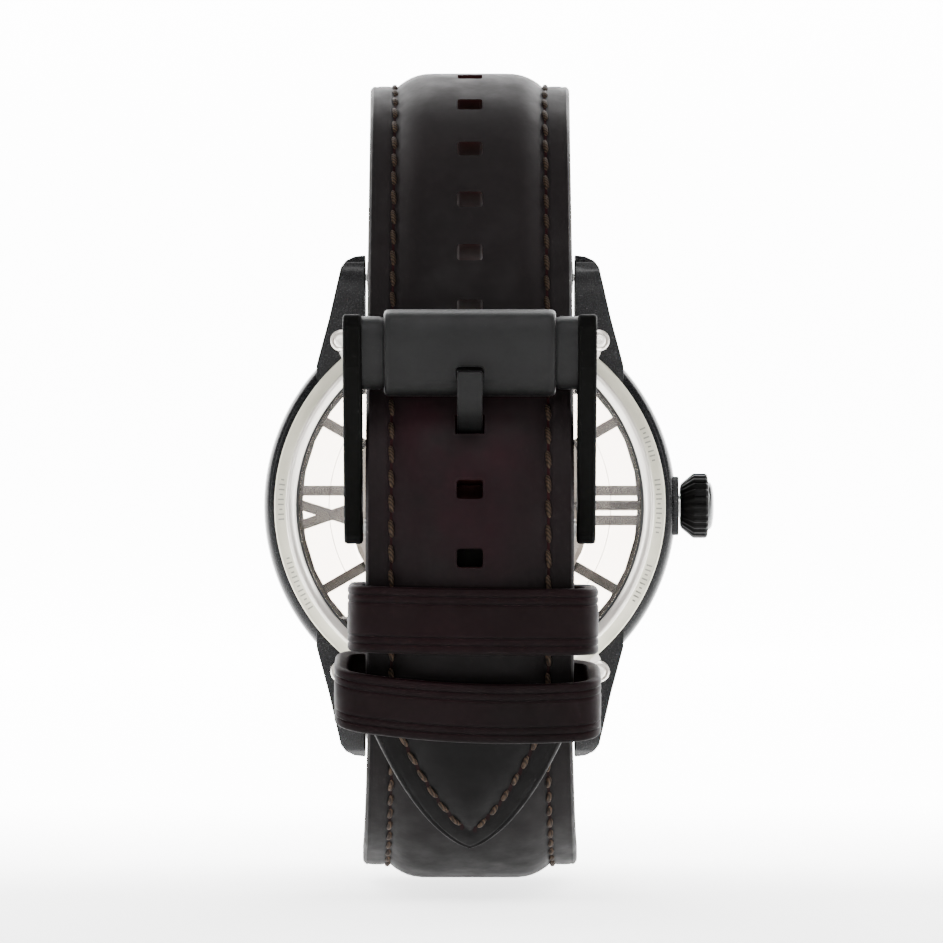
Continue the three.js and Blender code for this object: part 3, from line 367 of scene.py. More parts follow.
def boolean(ob, cutter, operation="DIFFERENCE"):
    m = ob.modifiers.new("cut", "BOOLEAN")
    m.operation = operation
    m.object = cutter
    m.solver = "EXACT"
    m.material_mode = "TRANSFER"
    dg = bpy.context.evaluated_depsgraph_get()
    me = bpy.data.meshes.new_from_object(ob.evaluated_get(dg))
    ob.modifiers.remove(m)
    ob.data = me
    bpy.data.objects.remove(cutter)
print("object helpers ready")

# %% [markdown]
# ## Turned, extruded and lofted shapes
# A watch is mostly made on a lathe, so a profile turned about an axis covers the rings, and
# an outline pushed along an axis covers the flat pieces. Blender's Screw and Solidify
# modifiers do the same from a curve; writing the vertices keeps each drawing's numbers in
# one list that can be compared with the CAD.

# %% Shape helpers
def add_ring_faces(bm, rings, close_loop=False):
    # Joins rows of vertices, each row closed on itself, into a skin.
    n = len(rings[0])
    rows = len(rings)
    for i in range(rows if close_loop else rows - 1):
        a, b = rings[i], rings[(i + 1) % rows]
        for j in range(n):
            k = (j + 1) % n
            bm.faces.new((a[j], a[k], b[k], b[j]))

def lathe_into(bm, profile, seg=160, at=(0, 0), axis="Y", material=0):
    # Turns (radius, height) points about the axis through at.
    before = len(bm.faces)
    rings = []
    for i in range(seg):
        t = 360.0 * i / seg * DEG
        row = []
        for r, h in profile:
            a, b = r * math.cos(t), r * math.sin(t)
            p = (at[0] + a, h, at[1] + b) if axis == "Y" else (h, at[0] + a, at[1] + b)
            row.append(bm.verts.new(Vector(p) * MM))
        rings.append(row)
    add_ring_faces(bm, rings, True)
    bm.faces.ensure_lookup_table()
    for f in bm.faces[before:]:
        f.material_index = material

def prism_into(bm, outline, lo, hi, axis="X", material=0):
    def place(a, b, c):
        return {"X": (c, a, b), "Y": (a, c, b)}[axis]
    low = [bm.verts.new(Vector(place(a, b, lo)) * MM) for a, b in outline]
    top = [bm.verts.new(Vector(place(a, b, hi)) * MM) for a, b in outline]
    made = [bm.faces.new(low), bm.faces.new(list(reversed(top)))]
    n = len(outline)
    for i in range(n):
        j = (i + 1) % n
        made.append(bm.faces.new((low[i], top[i], top[j], low[j])))
    for f in made:
        f.material_index = material

def rounded(points, radius, steps=4):
    # Each corner of a closed outline becomes a short curve.
    out = []
    n = len(points)
    for i in range(n):
        p, a, b = Vector(points[i]), Vector(points[i - 1]), Vector(points[(i + 1) % n])
        u, v = (a - p).normalized(), (b - p).normalized()
        half = u.angle(v) / 2
        cutback = min(radius / math.tan(half), 0.45 * (a - p).length, 0.45 * (b - p).length)
        start, end = p + u * cutback, p + v * cutback
        for k in range(steps + 1):
            t = k / steps
            out.append(tuple((1 - t) ** 2 * start + 2 * t * (1 - t) * p + t * t * end))
    return out

def band(points, thick):
    # A line of points made into a closed outline of even thickness.
    left, right = [], []
    for i, p in enumerate(points):
        a, b = points[max(0, i - 1)], points[min(len(points) - 1, i + 1)]
        k = thick / 2 / math.hypot(b[0] - a[0], b[1] - a[1])
        left.append((p[0] - (b[1] - a[1]) * k, p[1] + (b[0] - a[0]) * k))
        right.insert(0, (p[0] + (b[1] - a[1]) * k, p[1] - (b[0] - a[0]) * k))
    return left + right
print("shape helpers ready")

# %% [markdown]
# ## Case middle
# The middle is turned from bar: a smooth flank, small chamfers and a recess for the back. A
# flat boss stands out at three o'clock to carry the crown. Cutting the boss with a boolean
# would give the same shape; pushing its rounded outline through the flank as a second shell
# of one mesh keeps both surfaces clean.

# %% Case middle
CASE_R = 22.0
bm = bmesh.new()
middle_profile = [(19.7, 0.9), (21.05, 0.9), (21.35, 1.0), (21.7, 1.35), (21.93, 1.9),
                  (CASE_R, 2.6), (CASE_R, 7.6), (21.9, 8.3), (21.6, 9.0), (21.1, 9.6),
                  (18.9, 9.6), (18.9, 9.3), (19.7, 9.3)]
lathe_into(bm, middle_profile, 220)
BOSS_HALF = 3.15
boss = [(1.5, -BOSS_HALF), (7.3, -BOSS_HALF), (7.3, BOSS_HALF), (1.5, BOSS_HALF)]
prism_into(bm, rounded(boss, 0.5), 20.2, CASE_R + 0.25, "X")
as_object("case_body", bm, case_black, "case", ("case_middle",), bevel=0.12)
print("case middle, radius", CASE_R)

# %% [markdown]
# ## Lugs
# Four horns reach past the ring and hold the strap's bars. Seen from the front each is a
# tapered finger, and seen from the side it droops to a rounded tip. Two outlines say this
# best: one is pushed along Y, the other along X, and a boolean keeps what they share.

# %% Lugs
lug_plan = [(11.15, 12), (11.15, 26.75), (12.3, 26.6), (13.2, 26.15), (13.75, 25.4),
            (15.0, 20.0), (16.35, 15.0), (16.35, 12)]
lug_side = [(0.9, 12), (0.75, 18.0), (0.45, 22.5), (0.4, 24.9), (0.75, 26.0), (1.6, 26.8),
            (3.4, 26.8), (5.0, 25.7), (6.6, 23.4), (8.2, 19.5), (8.9, 12)]
for name, sx, sz in (("a", -1, 1), ("b", 1, 1), ("c", -1, -1), ("d", 1, -1)):
    bm = bmesh.new()
    prism_into(bm, [(sx * x, sz * z) for x, z in lug_plan], -1, 10, "Y")
    lug = plain("lug_" + name, bm, lug_black_painted_shade)
    bm = bmesh.new()
    x_lo, x_hi = sorted((sx * 10, sx * 18))
    prism_into(bm, [(y, sz * z) for y, z in lug_side], x_lo, x_hi, "X")
    boolean(lug, plain("tool", bm, case_black), "INTERSECT")
    soften(lug, 35)
    bevel_edges(lug, 0.28, 3, 25, True)
    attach(lug, "case")
print("lugs reach", max(z for _, z in lug_side), "mm from the middle")

# %% [markdown]
# ## Bezel, front glass, seal and inner flange
# These are rings on one axis, so each is one turned profile. The glass has a small chamfer,
# because that line of light is what shows it is there. Its profile starts just off the axis:
# a point exactly on the axis would put all its copies in one place.

# %% Front rings
AXIS = 0.002
bm = bmesh.new()
bezel_profile = [(18.9, 9.63), (21.1, 9.63), (21.3, 9.8), (21.3, 10.1), (20.9, 10.8),
                 (20.3, 11.35), (19.7, 11.6), (18.95, 11.6), (18.9, 11.5)]
lathe_into(bm, bezel_profile, 220)
as_object("bezel_ring", bm, case_black, "case", ("bezel",), bevel=0.05)
bm = bmesh.new()
lathe_into(bm, [(AXIS, 9.9), (18.55, 9.9), (18.55, 11.45), (18.3, 11.68), (AXIS, 11.7)], 200)
as_object("front_glass", bm, front_clear, "case", ("front_crystal",))
bm = bmesh.new()
lathe_into(bm, [(18.58, 9.9), (18.87, 9.9), (18.87, 11.2), (18.58, 11.2)], 160)
as_object("front_seal", bm, rubber, "case", ("front_crystal_gasket",))
bm = bmesh.new()
lathe_into(bm, [(18.55, 8.3), (19.65, 8.3), (19.65, 9.25), (18.75, 9.25)], 200)
as_object("inner_flange", bm, mark_grey, "case", ("rehaut",), bevel=0.04)
print("front rings, glass top at", 11.7)

# %% [markdown]
# ## Case back
# A steel ring holds the rear glass: a blasted outer band, then a raised bright edge and a
# polished slope down to the glass. It is turned in one piece on the real watch too, so one
# profile makes it, and the faces inside a radius take the polished finish. Four ears with
# a bored ring carry the screws; they are extra shells in the same mesh.

# %% Case back ring
EAR = (13.7, 17.6)
CORNERS = ((-1, 1), (1, 1), (-1, -1), (1, -1))
POLISHED_R = 19.56
ear_ring = [(0.8, 0.5), (0.8, 0.16), (0.86, 0.06), (1.0, 0.03), (1.12, 0.1), (1.17, 0.25),
            (1.17, 0.87), (0.5, 0.87), (0.5, 0.5)]
bm = bmesh.new()
back_profile = [(18.5, -0.03), (18.62, -0.1), (19.12, -0.40), (19.3, -0.43), (19.42, -0.40),
                (19.52, -0.06), (19.6, 0.0), (20.7, 0.1), (20.8, 0.2), (20.8, 0.87),
                (19.6, 0.87), (19.6, 2.3), (18.5, 2.3)]
lathe_into(bm, back_profile, 240)
for sx in (-1, 1):
    for sz in (-1, 1):
        place = (sx * EAR[0], sz * EAR[1])
        lathe_into(bm, ear_ring, 40, place, material=1)
        spot = Vector(place)
        d = spot.normalized()
        s = Vector((-d.y, d.x))
        inner, outer = spot - d * 2.2, spot - d * 0.9
        neck = [inner + s * 1.25, outer + s * 0.95, outer - s * 0.95, inner - s * 1.25]
        prism_into(bm, [tuple(p) for p in neck], 0.12, 0.87, "Y", material=1)
back = as_object("back_ring", bm, steel_matte, "case", ("case_back_ring",),
                 extra=(steel_bright,))
for p in back.data.polygons:
    c = p.center / MM
    if math.hypot(c.x, c.z) < POLISHED_R and c.y < 0.1:
        p.material_index = 1
print("back ring, polished faces", sum(p.material_index for p in back.data.polygons))

# %% [markdown]
# ## Rear glass, seals and screws
# The glass is flat and level with the ring. The screws have a hollow socket head, so their
# profile dips in the middle before it runs down the shank; a boolean pocket would do the
# same with more faces.

# %% Rear glass, seals and screws
bm = bmesh.new()
lathe_into(bm, [(AXIS, 0.0), (18.1, 0.0), (18.2, 0.08), (18.2, 1.0), (AXIS, 1.0)], 200)
as_object("back_glass", bm, glass, "case", ("back_crystal",))
bm = bmesh.new()
lathe_into(bm, [(18.22, 0.05), (18.47, 0.05), (18.47, 1.0), (18.22, 1.0)], 200)
as_object("back_seal", bm, rubber, "case", ("back_crystal_gasket",))
bm = bmesh.new()
lathe_into(bm, [(19.75, 0.95), (20.3, 0.95), (20.3, 1.4), (19.75, 1.4)], 160)
as_object("rear_seal", bm, rubber, "case", ("case_back_gasket",))
screw_profile = [(0.28, 0.2), (0.28, -0.02), (0.34, -0.07), (0.62, -0.07), (0.72, 0.03),
                 (0.72, 0.46), (0.42, 0.46), (0.42, 3.2), (AXIS, 3.2), (AXIS, 0.2)]
for i, (sx, sz) in enumerate(CORNERS, 1):
    bm = bmesh.new()
    lathe_into(bm, screw_profile, 36, (sx * EAR[0], sz * EAR[1]))
    as_object("back_screw_%d" % i, bm, steel_bright, "case", ("case_back_screw_%d" % i,),
              sharp=30)
print("back screws", len(CORNERS))

# %% [markdown]
# ## Engraving on the band
# The real band carries small engraved writing. A library part should name nobody, so plain
# strokes stand in for it, grouped as the words are. A displaced texture would need a very
# fine mesh here; thin prisms that follow the slope of the band cost little and stay sharp.

# %% Engraved strokes
BAND_R = 20.1
def stroke(bm, angle, r0, r1, width):
    a = angle * DEG
    d, s = Vector((math.cos(a), math.sin(a))), Vector((-math.sin(a), math.cos(a)))
    s = s * width / 2
    prism_into(bm, [tuple(p) for p in (d * r0 + s, d * r1 + s, d * r1 - s, d * r0 - s)],
               0.0, 0.2, "Y")

bm = bmesh.new()
# Each group of strokes: first angle, number, and degrees between neighbours.
groups = ((-30, 9, 1.45), (-8, 12, 1.45), (14, 8, 1.45), (172, 9, 1.5), (196, 12, 1.5),
          (330, 5, 1.45))
for start, count, step in groups:
    for k in range(count):
        tall = 0.62 if k % 3 else 0.34
        stroke(bm, start + k * step, BAND_R - tall / 2, BAND_R + tall / 2, 0.16)
for v in bm.verts:
    r = math.hypot(v.co.x, v.co.z) / MM
    if v.co.y < 0.1 * MM:
        v.co.y = (0.1 * (r - 19.6) / 1.1 - 0.012) * MM
as_object("band_strokes", bm, engraved, "case", ())
print("strokes", sum(count for _, count, _ in groups))

# %% [markdown]
# ## Crown
# The crown is a fluted black wheel with a grey domed cap; it winds the spring and pulls out
# to set the hands. Flutes could be an array of booleans. A radius that waves with the angle
# needs none: the wave is clipped so that the teeth are flat and the grooves are narrow.

# %% Crown
CROWN_Y = 4.4
TEETH = 26
FLUTE_DEPTH = 0.08
bm = bmesh.new()
# Each row: distance along X, radius.
crown_rows = [(22.5, 2.1), (22.62, 2.4), (23.75, 3.36), (23.95, 3.48), (25.2, 3.48),
              (25.4, 3.3), (25.5, 2.7)]
rows = []
for x, r in crown_rows:
    row = []
    for i in range(TEETH * 8):
        t = 2 * math.pi * i / (TEETH * 8)
        wave = max(-1.0, min(1.0, 1.9 * math.cos(TEETH * t)))
        rr = r - FLUTE_DEPTH * (1 - wave) * min(1.0, max(0.0, (r - 2.6) / 0.6))
        row.append(bm.verts.new(Vector((x, CROWN_Y + rr * math.cos(t), rr * math.sin(t))) * MM))
    rows.append(row)
add_ring_faces(bm, rows)
bm.faces.new(rows[0])
bm.faces.new(rows[-1])
as_object("crown_wheel_outer", bm, crown_black, "crown_group", ("crown",),
          sharp=30)
bm = bmesh.new()
dome_profile = [(AXIS, 25.45), (2.5, 25.45), (2.55, 25.6), (2.45, 25.78), (2.1, 25.95),
                (1.4, 26.07), (AXIS, 26.12)]
lathe_into(bm, dome_profile, 72, (CROWN_Y, 0), "X")
as_object("crown_dome", bm, cap_grey, "crown_group", ("crown_cap",),
          sharp=60)
print("crown", TEETH, "flutes, end at", dome_profile[-1][1])

# %% [markdown]
# ## Movement
# Wheels, bridges, screws and hands are already cut to shape in the CAD. Making them again
# would only add a second version to keep in step, so they keep their solids and get a
# finish each: gilt wheels, plated bridges, blued screws, dark hands. The clear holder is
# remade, because a mesh with even rings carries the light better.

# %% Movement finishes
finish = {
    "crown_tube": brushed, "winding_stem": stem_grey, "sliding_pinion": steel_bright,
    "setting_lever": brushed, "crown_gasket": rubber, "dial_disc": dial_clear,
    "dial_markers": mark_grey, "mainplate": nickel, "barrel_bridge": nickel,
    "train_bridge": nickel, "balance_cock": nickel, "bridge_screw_1": blued,
    "bridge_screw_2": blued, "bridge_screw_3": blued, "hairspring": blued,
    "rotor_post": steel_bright, "rotor": brushed, "mainspring_barrel": brass,
    "centre_wheel": brass, "third_wheel": brass, "fourth_wheel": brass,
    "escape_wheel": steel_bright, "pallet_fork": steel_bright, "balance_wheel": brass,
    "ratchet_wheel": brushed, "crown_wheel": brushed, "cannon_pinion": steel_bright,
    "minute_wheel": brass, "hour_wheel": brass, "hour_hand": hand_black,
    "minute_hand": hand_black, "second_hand": steel_bright, "lug_spring_bar_6": brushed,
    "lug_spring_bar_12": brushed, "buckle_spring_bar": brushed,
}
for name, mat in finish.items():
    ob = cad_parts[name]
    ob.data.materials.clear()
    ob.data.materials.append(mat)
bm = bmesh.new()
holder_profile = [(13.2, 3.2), (15.0, 3.2), (15.1, 3.3), (15.1, 5.6), (19.5, 5.6),
                  (19.5, 6.2), (13.2, 6.2)]
lathe_into(bm, holder_profile, 200)
as_object("holder_ring", bm, plastic, "case", ("movement_holder",), bevel=0.08)
print("movement dressed", len(finish))

# %% [markdown]
# ## The path of the strap
# Both halves are stiff leather, bent as if round a wrist. A curve with a bevel object could
# carry the section, but its twist and its exact length are hard to hold. Here a path is a
# list of arcs, each a length and a turn in degrees, walked in short steps, and the headings
# are then eased so that one bend runs into the next. The first number of a point on the
# path is its depth behind the case, the second its height.

# %% Strap paths
LUG_BAR = (-2.2, 24.4)
LONG_START, SHORT_START = 46.5, -39.3
LONG_BENDS = [(10.66, -0.1), (10.34, -16.6), (9.57, -24), (6.18, -29.1), (7, -21.6),
              (7.31, -10.8), (7.52, -4), (7, -0.1), (6, -1.7), (6, -7.3), (6, -11),
              (6, -10), (0.4, 0), (33.7, -58.5)]
SHORT_BENDS = [(10.67, 8.8), (9.31, 13.1), (6.3, 19.3), (6.5, 17.3), (8.2, 12.6),
               (8.67, 13.3), (25.4, 48.6)]

def walk(start, heading, bends, step=0.5):
    p, q = start
    h, s = heading * DEG, 0.0
    out = [(s, p, q, h)]
    for length, turn in bends:
        n = max(1, int(round(length / step)))
        for _ in range(n):
            half = h + turn * DEG / n / 2
            p += length / n * math.cos(half)
            q += length / n * math.sin(half)
            h += turn * DEG / n
            s += length / n
            out.append((s, p, q, h))
    return out

def smooth(rows):
    hs = [r[3] for r in rows]
    for _ in range(14):
        inner = [(hs[i - 1] + 2 * hs[i] + hs[i + 1]) / 4 for i in range(1, len(hs) - 1)]
        hs = [hs[0]] + inner + [hs[-1]]
    return [(s, p, q, h) for (s, p, q, _), h in zip(rows, hs)]

def bracket(rising, value):
    # The two neighbours in a rising list of numbers that hold the value between them.
    lo, hi = 0, len(rising) - 1
    while hi - lo > 1:
        mid = (lo + hi) // 2
        if rising[mid] <= value:
            lo = mid
        else:
            hi = mid
    return lo, hi

def station_at(path, s):
    # Length, depth, height and heading at a length along the path.
    s = max(0.0, min(path[-1][0], s))
    lo, hi = bracket([r[0] for r in path], s)
    a, b = path[lo], path[hi]
    t = (s - a[0]) / max(1e-9, b[0] - a[0])
    return tuple(a[i] + t * (b[i] - a[i]) for i in range(4))

def lift(station, side, x, n):
    # A point x across the strap and n above its middle layer, in metres.
    _, p, q, h = station
    return Vector((x, -(p - side * n * math.sin(h)), q + side * n * math.cos(h))) * MM

long_path = smooth(walk(LUG_BAR, LONG_START, LONG_BENDS))
short_path = smooth(walk((LUG_BAR[0], -LUG_BAR[1]), SHORT_START, SHORT_BENDS))
LONG_L, SHORT_L = long_path[-1][0], short_path[-1][0]
print("strap halves", round(LONG_L, 1), round(SHORT_L, 1))

# %% [markdown]
# ## The section of the strap
# Sewn straps are thin at the edges and padded between the seams. The edge is rounded, a
# pressed line runs beside it, and the seam sits in a shallow valley. The height of the top
# is a function of the distance from the edge, so the same few lines shape the straight part
# and the pointed end. The padding fades where the strap bends hard and near the buckle.

# %% Width and height of the leather
FLANGE, DOME = 2.4, 1.3
LUG_W, BUCKLE_W = 21.9, 19.8
TIP = 18.0
SEAM = 2.45

def clamp(t):
    return max(0.0, min(1.0, t))

def ease(t):
    t = clamp(t)
    return t * t * (3 - 2 * t)

def half_width(kind, s):
    a, b = (0, 38) if kind == "long" else (24, 55)
    base = (LUG_W + (BUCKLE_W - LUG_W) * clamp((s - a) / (b - a))) / 2
    if kind == "long":
        base *= max(0.012, min(1.0, (LONG_L - s) / TIP) ** 0.68)
    return base

# The outline of the pointed end, so that seams and edges keep their distance from it.
from_end = [0.02 + 0.0015 * k * k for k in range(150)]
tip_edge = [(LONG_L - u, half_width("long", LONG_L - u)) for u in from_end]
edge_memo = {}

def edge_distance(kind, s, x):
    w = half_width(kind, s)
    if kind == "short" or s < LONG_L - TIP - 8:
        return w - abs(x)
    key = (round(s, 3), round(abs(x), 3))
    if key not in edge_memo:
        d = min(math.hypot(s - a, abs(x) - b) for a, b in tip_edge)
        edge_memo[key] = math.copysign(min(d, abs(w - abs(x)) + 1e-9), w - abs(x))
    return edge_memo[key]

def dome_of(kind, s):
    if kind == "long":
        pinch = ease(1 - abs(s - 72) / 13)
        return DOME * (1 - 0.62 * pinch) * (1 - 0.45 * ease((s - (LONG_L - 26)) / 14))
    return DOME * (1 - 0.6 * clamp((s - (SHORT_L - 46)) / 14))

def top_height(kind, s, x):
    e = max(0.0, edge_distance(kind, s, x))
    rise = clamp((e - SEAM - 0.35) / 3.6)
    h = FLANGE / 2 + dome_of(kind, s) * (1 - (1 - rise) ** 2.4)
    h -= 0.16 * math.exp(-((e - SEAM) / 0.28) ** 2)
    h -= 0.10 * math.exp(-((e - 0.62) / 0.12) ** 2)
    edge = max(0.0, 1 - e / 0.45)
    return h - 0.42 * edge * edge
print("top in the middle of the long half", round(top_height("long", 20, 0), 2))

# %% [markdown]
# ## Sweeping the leather
# At every station along the path a closed row of vertices goes over the padded top and back
# under the flat lining, and neighbouring rows are joined. The points are closer together
# near the edges, where the pressed line and the seam are. Knowing a face's place in its row
# tells which leather it is: top, painted edge or lining.

# %% Strap sweep
EDGE_SHARES = [0, .012, .03, .05, .07, .1, .13, .16, .19, .21, .225, .24, .255, .27, .29, .32,
               .36, .41, .47, .55, .65, .76, .88]

def underside(w):
    low = -FLANGE / 2
    right = [(w, 0.35), (w, -0.5), (w - 0.12, low + 0.25), (w - 0.4, low), (w * 0.6, low)]
    # At the very tip the strap is narrower than these insets, so they stop at its width.
    right = [(max(-w, x), n) for x, n in right]
    return right + [(0, low)] + [(-x, n) for x, n in reversed(right)]

def strap(name, kind, path, side, top_skin):
    bm = bmesh.new()
    length = path[-1][0]
    stations = []
    s = 0.0
    while s < length - 0.03:
        stations.append(s)
        s += 0.55 if s < length - TIP - 1 or kind == "short" else 0.2
    stations.append(length - 0.02)
    rings = []
    for s in stations:
        st = station_at(path, s)
        w = half_width(kind, s)
        left = [-w * (1 - f) for f in EDGE_SHARES]
        xs = left + [0.0] + [-x for x in reversed(left)]
        row = [bm.verts.new(lift(st, side, x, top_height(kind, s, x))) for x in xs]
        row += [bm.verts.new(lift(st, side, x, n)) for x, n in underside(w)]
        rings.append(row)
    add_ring_faces(bm, rings)
    bm.faces.new(rings[0])
    bm.faces.new(rings[-1])
    bm.faces.ensure_lookup_table()
    n, top = len(rings[0]), 2 * len(EDGE_SHARES) + 1
    for i in range(len(rings) - 1):
        for j in range(n):
            under = 2 if top + 1 < j < n - 3 else 1
            bm.faces[i * n + j].material_index = 0 if j < top - 1 else under
    return plain(name, bm, top_skin, painted_edge, lining, raw_edge)

def place_leather(ob, node=None):
    # Smooth, then tied to the case; with a node it is also that node's padded stand-in.
    soften(ob, 40)
    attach(ob, "case")
    if node:
        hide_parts(node)
print("points in a row", 2 * len(EDGE_SHARES) + 1 + len(underside(10)))

# %% [markdown]
# ## The long half
# Nine holes, even in pitch, are punched through it; the place between the seventh and the
# eighth is where the tang passes now, so that one gets a slot along the tang's own line.
# All cutters are gathered in one mesh and cut once: one boolean is quick and exact, and the
# cut faces take the red-brown cutter material. Each half ends in a turned loop at its lug bar.

# %% Long half with its holes
FIRST_HOLE, HOLE_PITCH = 35.3, 6.1
HOLES = [FIRST_HOLE + HOLE_PITCH * i for i in (0, 1, 2, 3, 4, 5, 6, 8, 9)]
HOLE_X, HOLE_S = 1.24, 0.92
TANG = [(51.9, -0.8), (51.4, 2.2), (51.5, 5.2), (52.5, 7.3), (54.7, 8.7), (56.6, 10.0),
        (57.3, 11.6), (57.5, 13.1)]
PIN_R = 0.93
long_ob = strap("strap_long_leather", "long", long_path, 1, long_skin)
cut = bmesh.new()
for s in HOLES:
    _, p, q, h = station_at(long_path, s)
    corners = [(-HOLE_X, -HOLE_S), (HOLE_X, -HOLE_S), (HOLE_X, HOLE_S), (-HOLE_X, HOLE_S)]
    outline = rounded(corners, 0.34, 3)
    rows = []
    for n in (-4.0, 6.0):
        moved = [(x, (s, p + t * math.cos(h), q + t * math.sin(h), h)) for x, t in outline]
        rows.append([cut.verts.new(lift(station, 1, x, n)) for x, station in moved])
    cut.faces.new(rows[0])
    cut.faces.new(rows[1])
    add_ring_faces(cut, rows)
prism_into(cut, [(-p, q) for p, q in band(TANG, 2.0)], -1.4, 1.4, "X")
boolean(long_ob, plain("tool", cut, raw_edge))
place_leather(long_ob, "strap_long")

def lug_loop(name, z, r=1.95):
    w = LUG_W / 2
    profile = [(PIN_R, -w + 0.1), (PIN_R, w - 0.1), (1.1, w), (r - 0.3, w), (r, w - 0.3),
               (r, -w + 0.3), (r - 0.3, -w), (1.1, -w)]
    bm = bmesh.new()
    lathe_into(bm, profile, 48, (-LUG_BAR[0], z), "X")
    place_leather(plain(name, bm, strap_skin, painted_edge, lining, raw_edge))

lug_loop("lug_loop_long", LUG_BAR[1])
lug_loop("lug_loop_short", -LUG_BAR[1])
print("holes", len(HOLES), "faces of the long half", len(long_ob.data.polygons))

# %% [markdown]
# ## The short half
# It is folded round the buckle's bar, with a notch in the fold that leaves room for the
# tang. The fold is two short turned sleeves, one each side of the notch, because a swept
# row can't close on itself round the bar.

# %% Short half
BUCKLE_BAR = (50.6, -1.8)
short_ob = strap("strap_short_leather", "short", short_path, -1, strap_skin)
cut = bmesh.new()
prism_into(cut, [(-55.5, -3.05), (-46, -3.05), (-46, 3), (-55.5, 3)], -1.7, 1.7, "X")
boolean(short_ob, plain("tool", cut, raw_edge))
place_leather(short_ob, "strap_short")
for side_name, sx in (("l", -1), ("r", 1)):
    x0, x1 = sorted((sx * 1.7, sx * 9.9))
    sleeve = [(PIN_R, x0), (PIN_R, x1), (1.5, x1), (1.65, x1 - 0.15), (1.65, x0 + 0.15),
              (1.5, x0)]
    bm = bmesh.new()
    lathe_into(bm, sleeve, 40, (-BUCKLE_BAR[0], BUCKLE_BAR[1]), "X")
    place_leather(plain("bar_loop_" + side_name, bm, strap_skin))
print("faces of the short half", len(short_ob.data.polygons))

# %% [markdown]
# ## Stitching
# The seam is saddle stitched: short slanted lengths of waxed thread, each end going down
# into a pit. A repeating texture can't sink into the leather, and at the tip it would
# stretch. So a line is drawn SEAM inside the edge, lengths of thread are set along it with
# an even pitch, and a flat dark patch under each gap stands for the pit: the red-brown of
# the cut leather, darkened as painted shade of the hollow.

# %% Seam lines and one length of thread
STEP = 0.1
PITCH, LENGTH = 2.38, 1.72
THREAD_R = 0.26
THREAD_STEPS = 8

def seam_points(kind, sign, s0, s1):
    straight_end = s1 if kind == "short" else s1 - TIP - 6
    stations = [s0 + STEP * i for i in range(int((straight_end - s0) / STEP))]
    pts = [(s, sign * (half_width(kind, s) - SEAM)) for s in stations]
    if kind == "short":
        return pts
    # Round the tip the line is offset at a right angle from the outline.
    back = [TIP + 6 - STEP * k for k in range(1, int((TIP + 6) / STEP))]
    rim = [(s1 - u, half_width(kind, s1 - u)) for u in back]
    for a, b in zip(rim, rim[1:]):
        ds, dx = b[0] - a[0], b[1] - a[1]
        n = math.hypot(ds, dx)
        p = (a[0] + dx / n * SEAM, a[1] - ds / n * SEAM)
        if p[1] <= 0.12:
            break
        if p[0] > pts[-1][0]:
            pts.append((p[0], sign * p[1]))
    return pts

def thread_length(bm, centre, normal):
    # A tube, flattened a little, that is thinner where it goes into the leather.
    sides = 8
    rows = []
    for k in range(THREAD_STEPS + 1):
        a, b = centre[max(0, k - 1)], centre[min(THREAD_STEPS, k + 1)]
        tangent = (b - a).normalized()
        across = tangent.cross(normal[k]).normalized()
        up = across.cross(tangent)
        rad = THREAD_R * (0.55 + 0.45 * math.sin(math.pi * (k / THREAD_STEPS)) ** 0.5)
        row = []
        for j in range(sides):
            t = 2 * math.pi * j / sides
            around = across * math.cos(t) * rad + up * math.sin(t) * rad * 0.8
            row.append(bm.verts.new(centre[k] + around * MM))
        rows.append(row)
    add_ring_faces(bm, rows)
    bm.faces.new(rows[0])
    bm.faces.new(rows[-1])
print("thread every", PITCH, "mm")

# %% [markdown]
# ## Sewing it
# On a bent strap an even pitch has to be measured along the seam itself, in space. So the
# run first adds up the real distances between the seam's points and then asks for the
# place at each distance. Each length rises in the middle and dips at its ends.

# %% Stitches
def thread_run(bm, kind, path, side, pts, start):
    dist = [0.0]
    world = [lift(station_at(path, s), side, x, top_height(kind, s, x)) for s, x in pts]
    for a, b in zip(world, world[1:]):
        dist.append(dist[-1] + (b - a).length / MM)

    def sample(d):
        d = max(0.0, min(dist[-1], d))
        lo, hi = bracket(dist, d)
        t = (d - dist[lo]) / max(1e-9, dist[hi] - dist[lo])
        return tuple(pts[lo][i] + t * (pts[hi][i] - pts[lo][i]) for i in (0, 1))

    count = 0
    d = start
    while d + LENGTH < dist[-1]:
        centre, normal = [], []
        for k in range(THREAD_STEPS + 1):
            t = k / THREAD_STEPS
            s, x = sample(d + LENGTH * t)
            slant = 0.10 * (t - 0.5) * 2
            st = station_at(path, s)
            high = top_height(kind, s, x) + (math.sin(math.pi * t) ** 0.6 * 0.26 - 0.10)
            centre.append(lift(st, side, x + slant, high))
            normal.append((lift(st, side, x + slant, high + 1) - centre[-1]).normalized())
        thread_length(bm, centre, normal)
        s, x = sample(d + LENGTH + (PITCH - LENGTH) / 2)
        # A flat dark patch on each stitch hole: painted shade of the hollow over the cut leather's
        # red-brown.
        pit = []
        for j in range(12):
            t = 2 * math.pi * j / 12
            ds, dx = 0.52 * math.cos(t), 0.27 * math.sin(t)
            high = top_height(kind, s + ds, x) + 0.035
            pit.append(bm.verts.new(lift(station_at(path, s + ds), side, x + dx, high)))
        bm.faces.new(pit).material_index = 1
        d += PITCH
        count += 1
    return count

total = 0
for kind, path, side, end in (("long", long_path, 1, LONG_L), ("short", short_path, -1, SHORT_L - 3)):
    bm = bmesh.new()
    for sign, start in ((-1, 0.4), (1, 0.9)):
        total += thread_run(bm, kind, path, side, seam_points(kind, sign, 3.0, end), start)
    as_object("stitches_" + kind, bm, thread, "case", (), sharp=60,
              extra=(stitch_pit_shade,))
print("stitches", total)

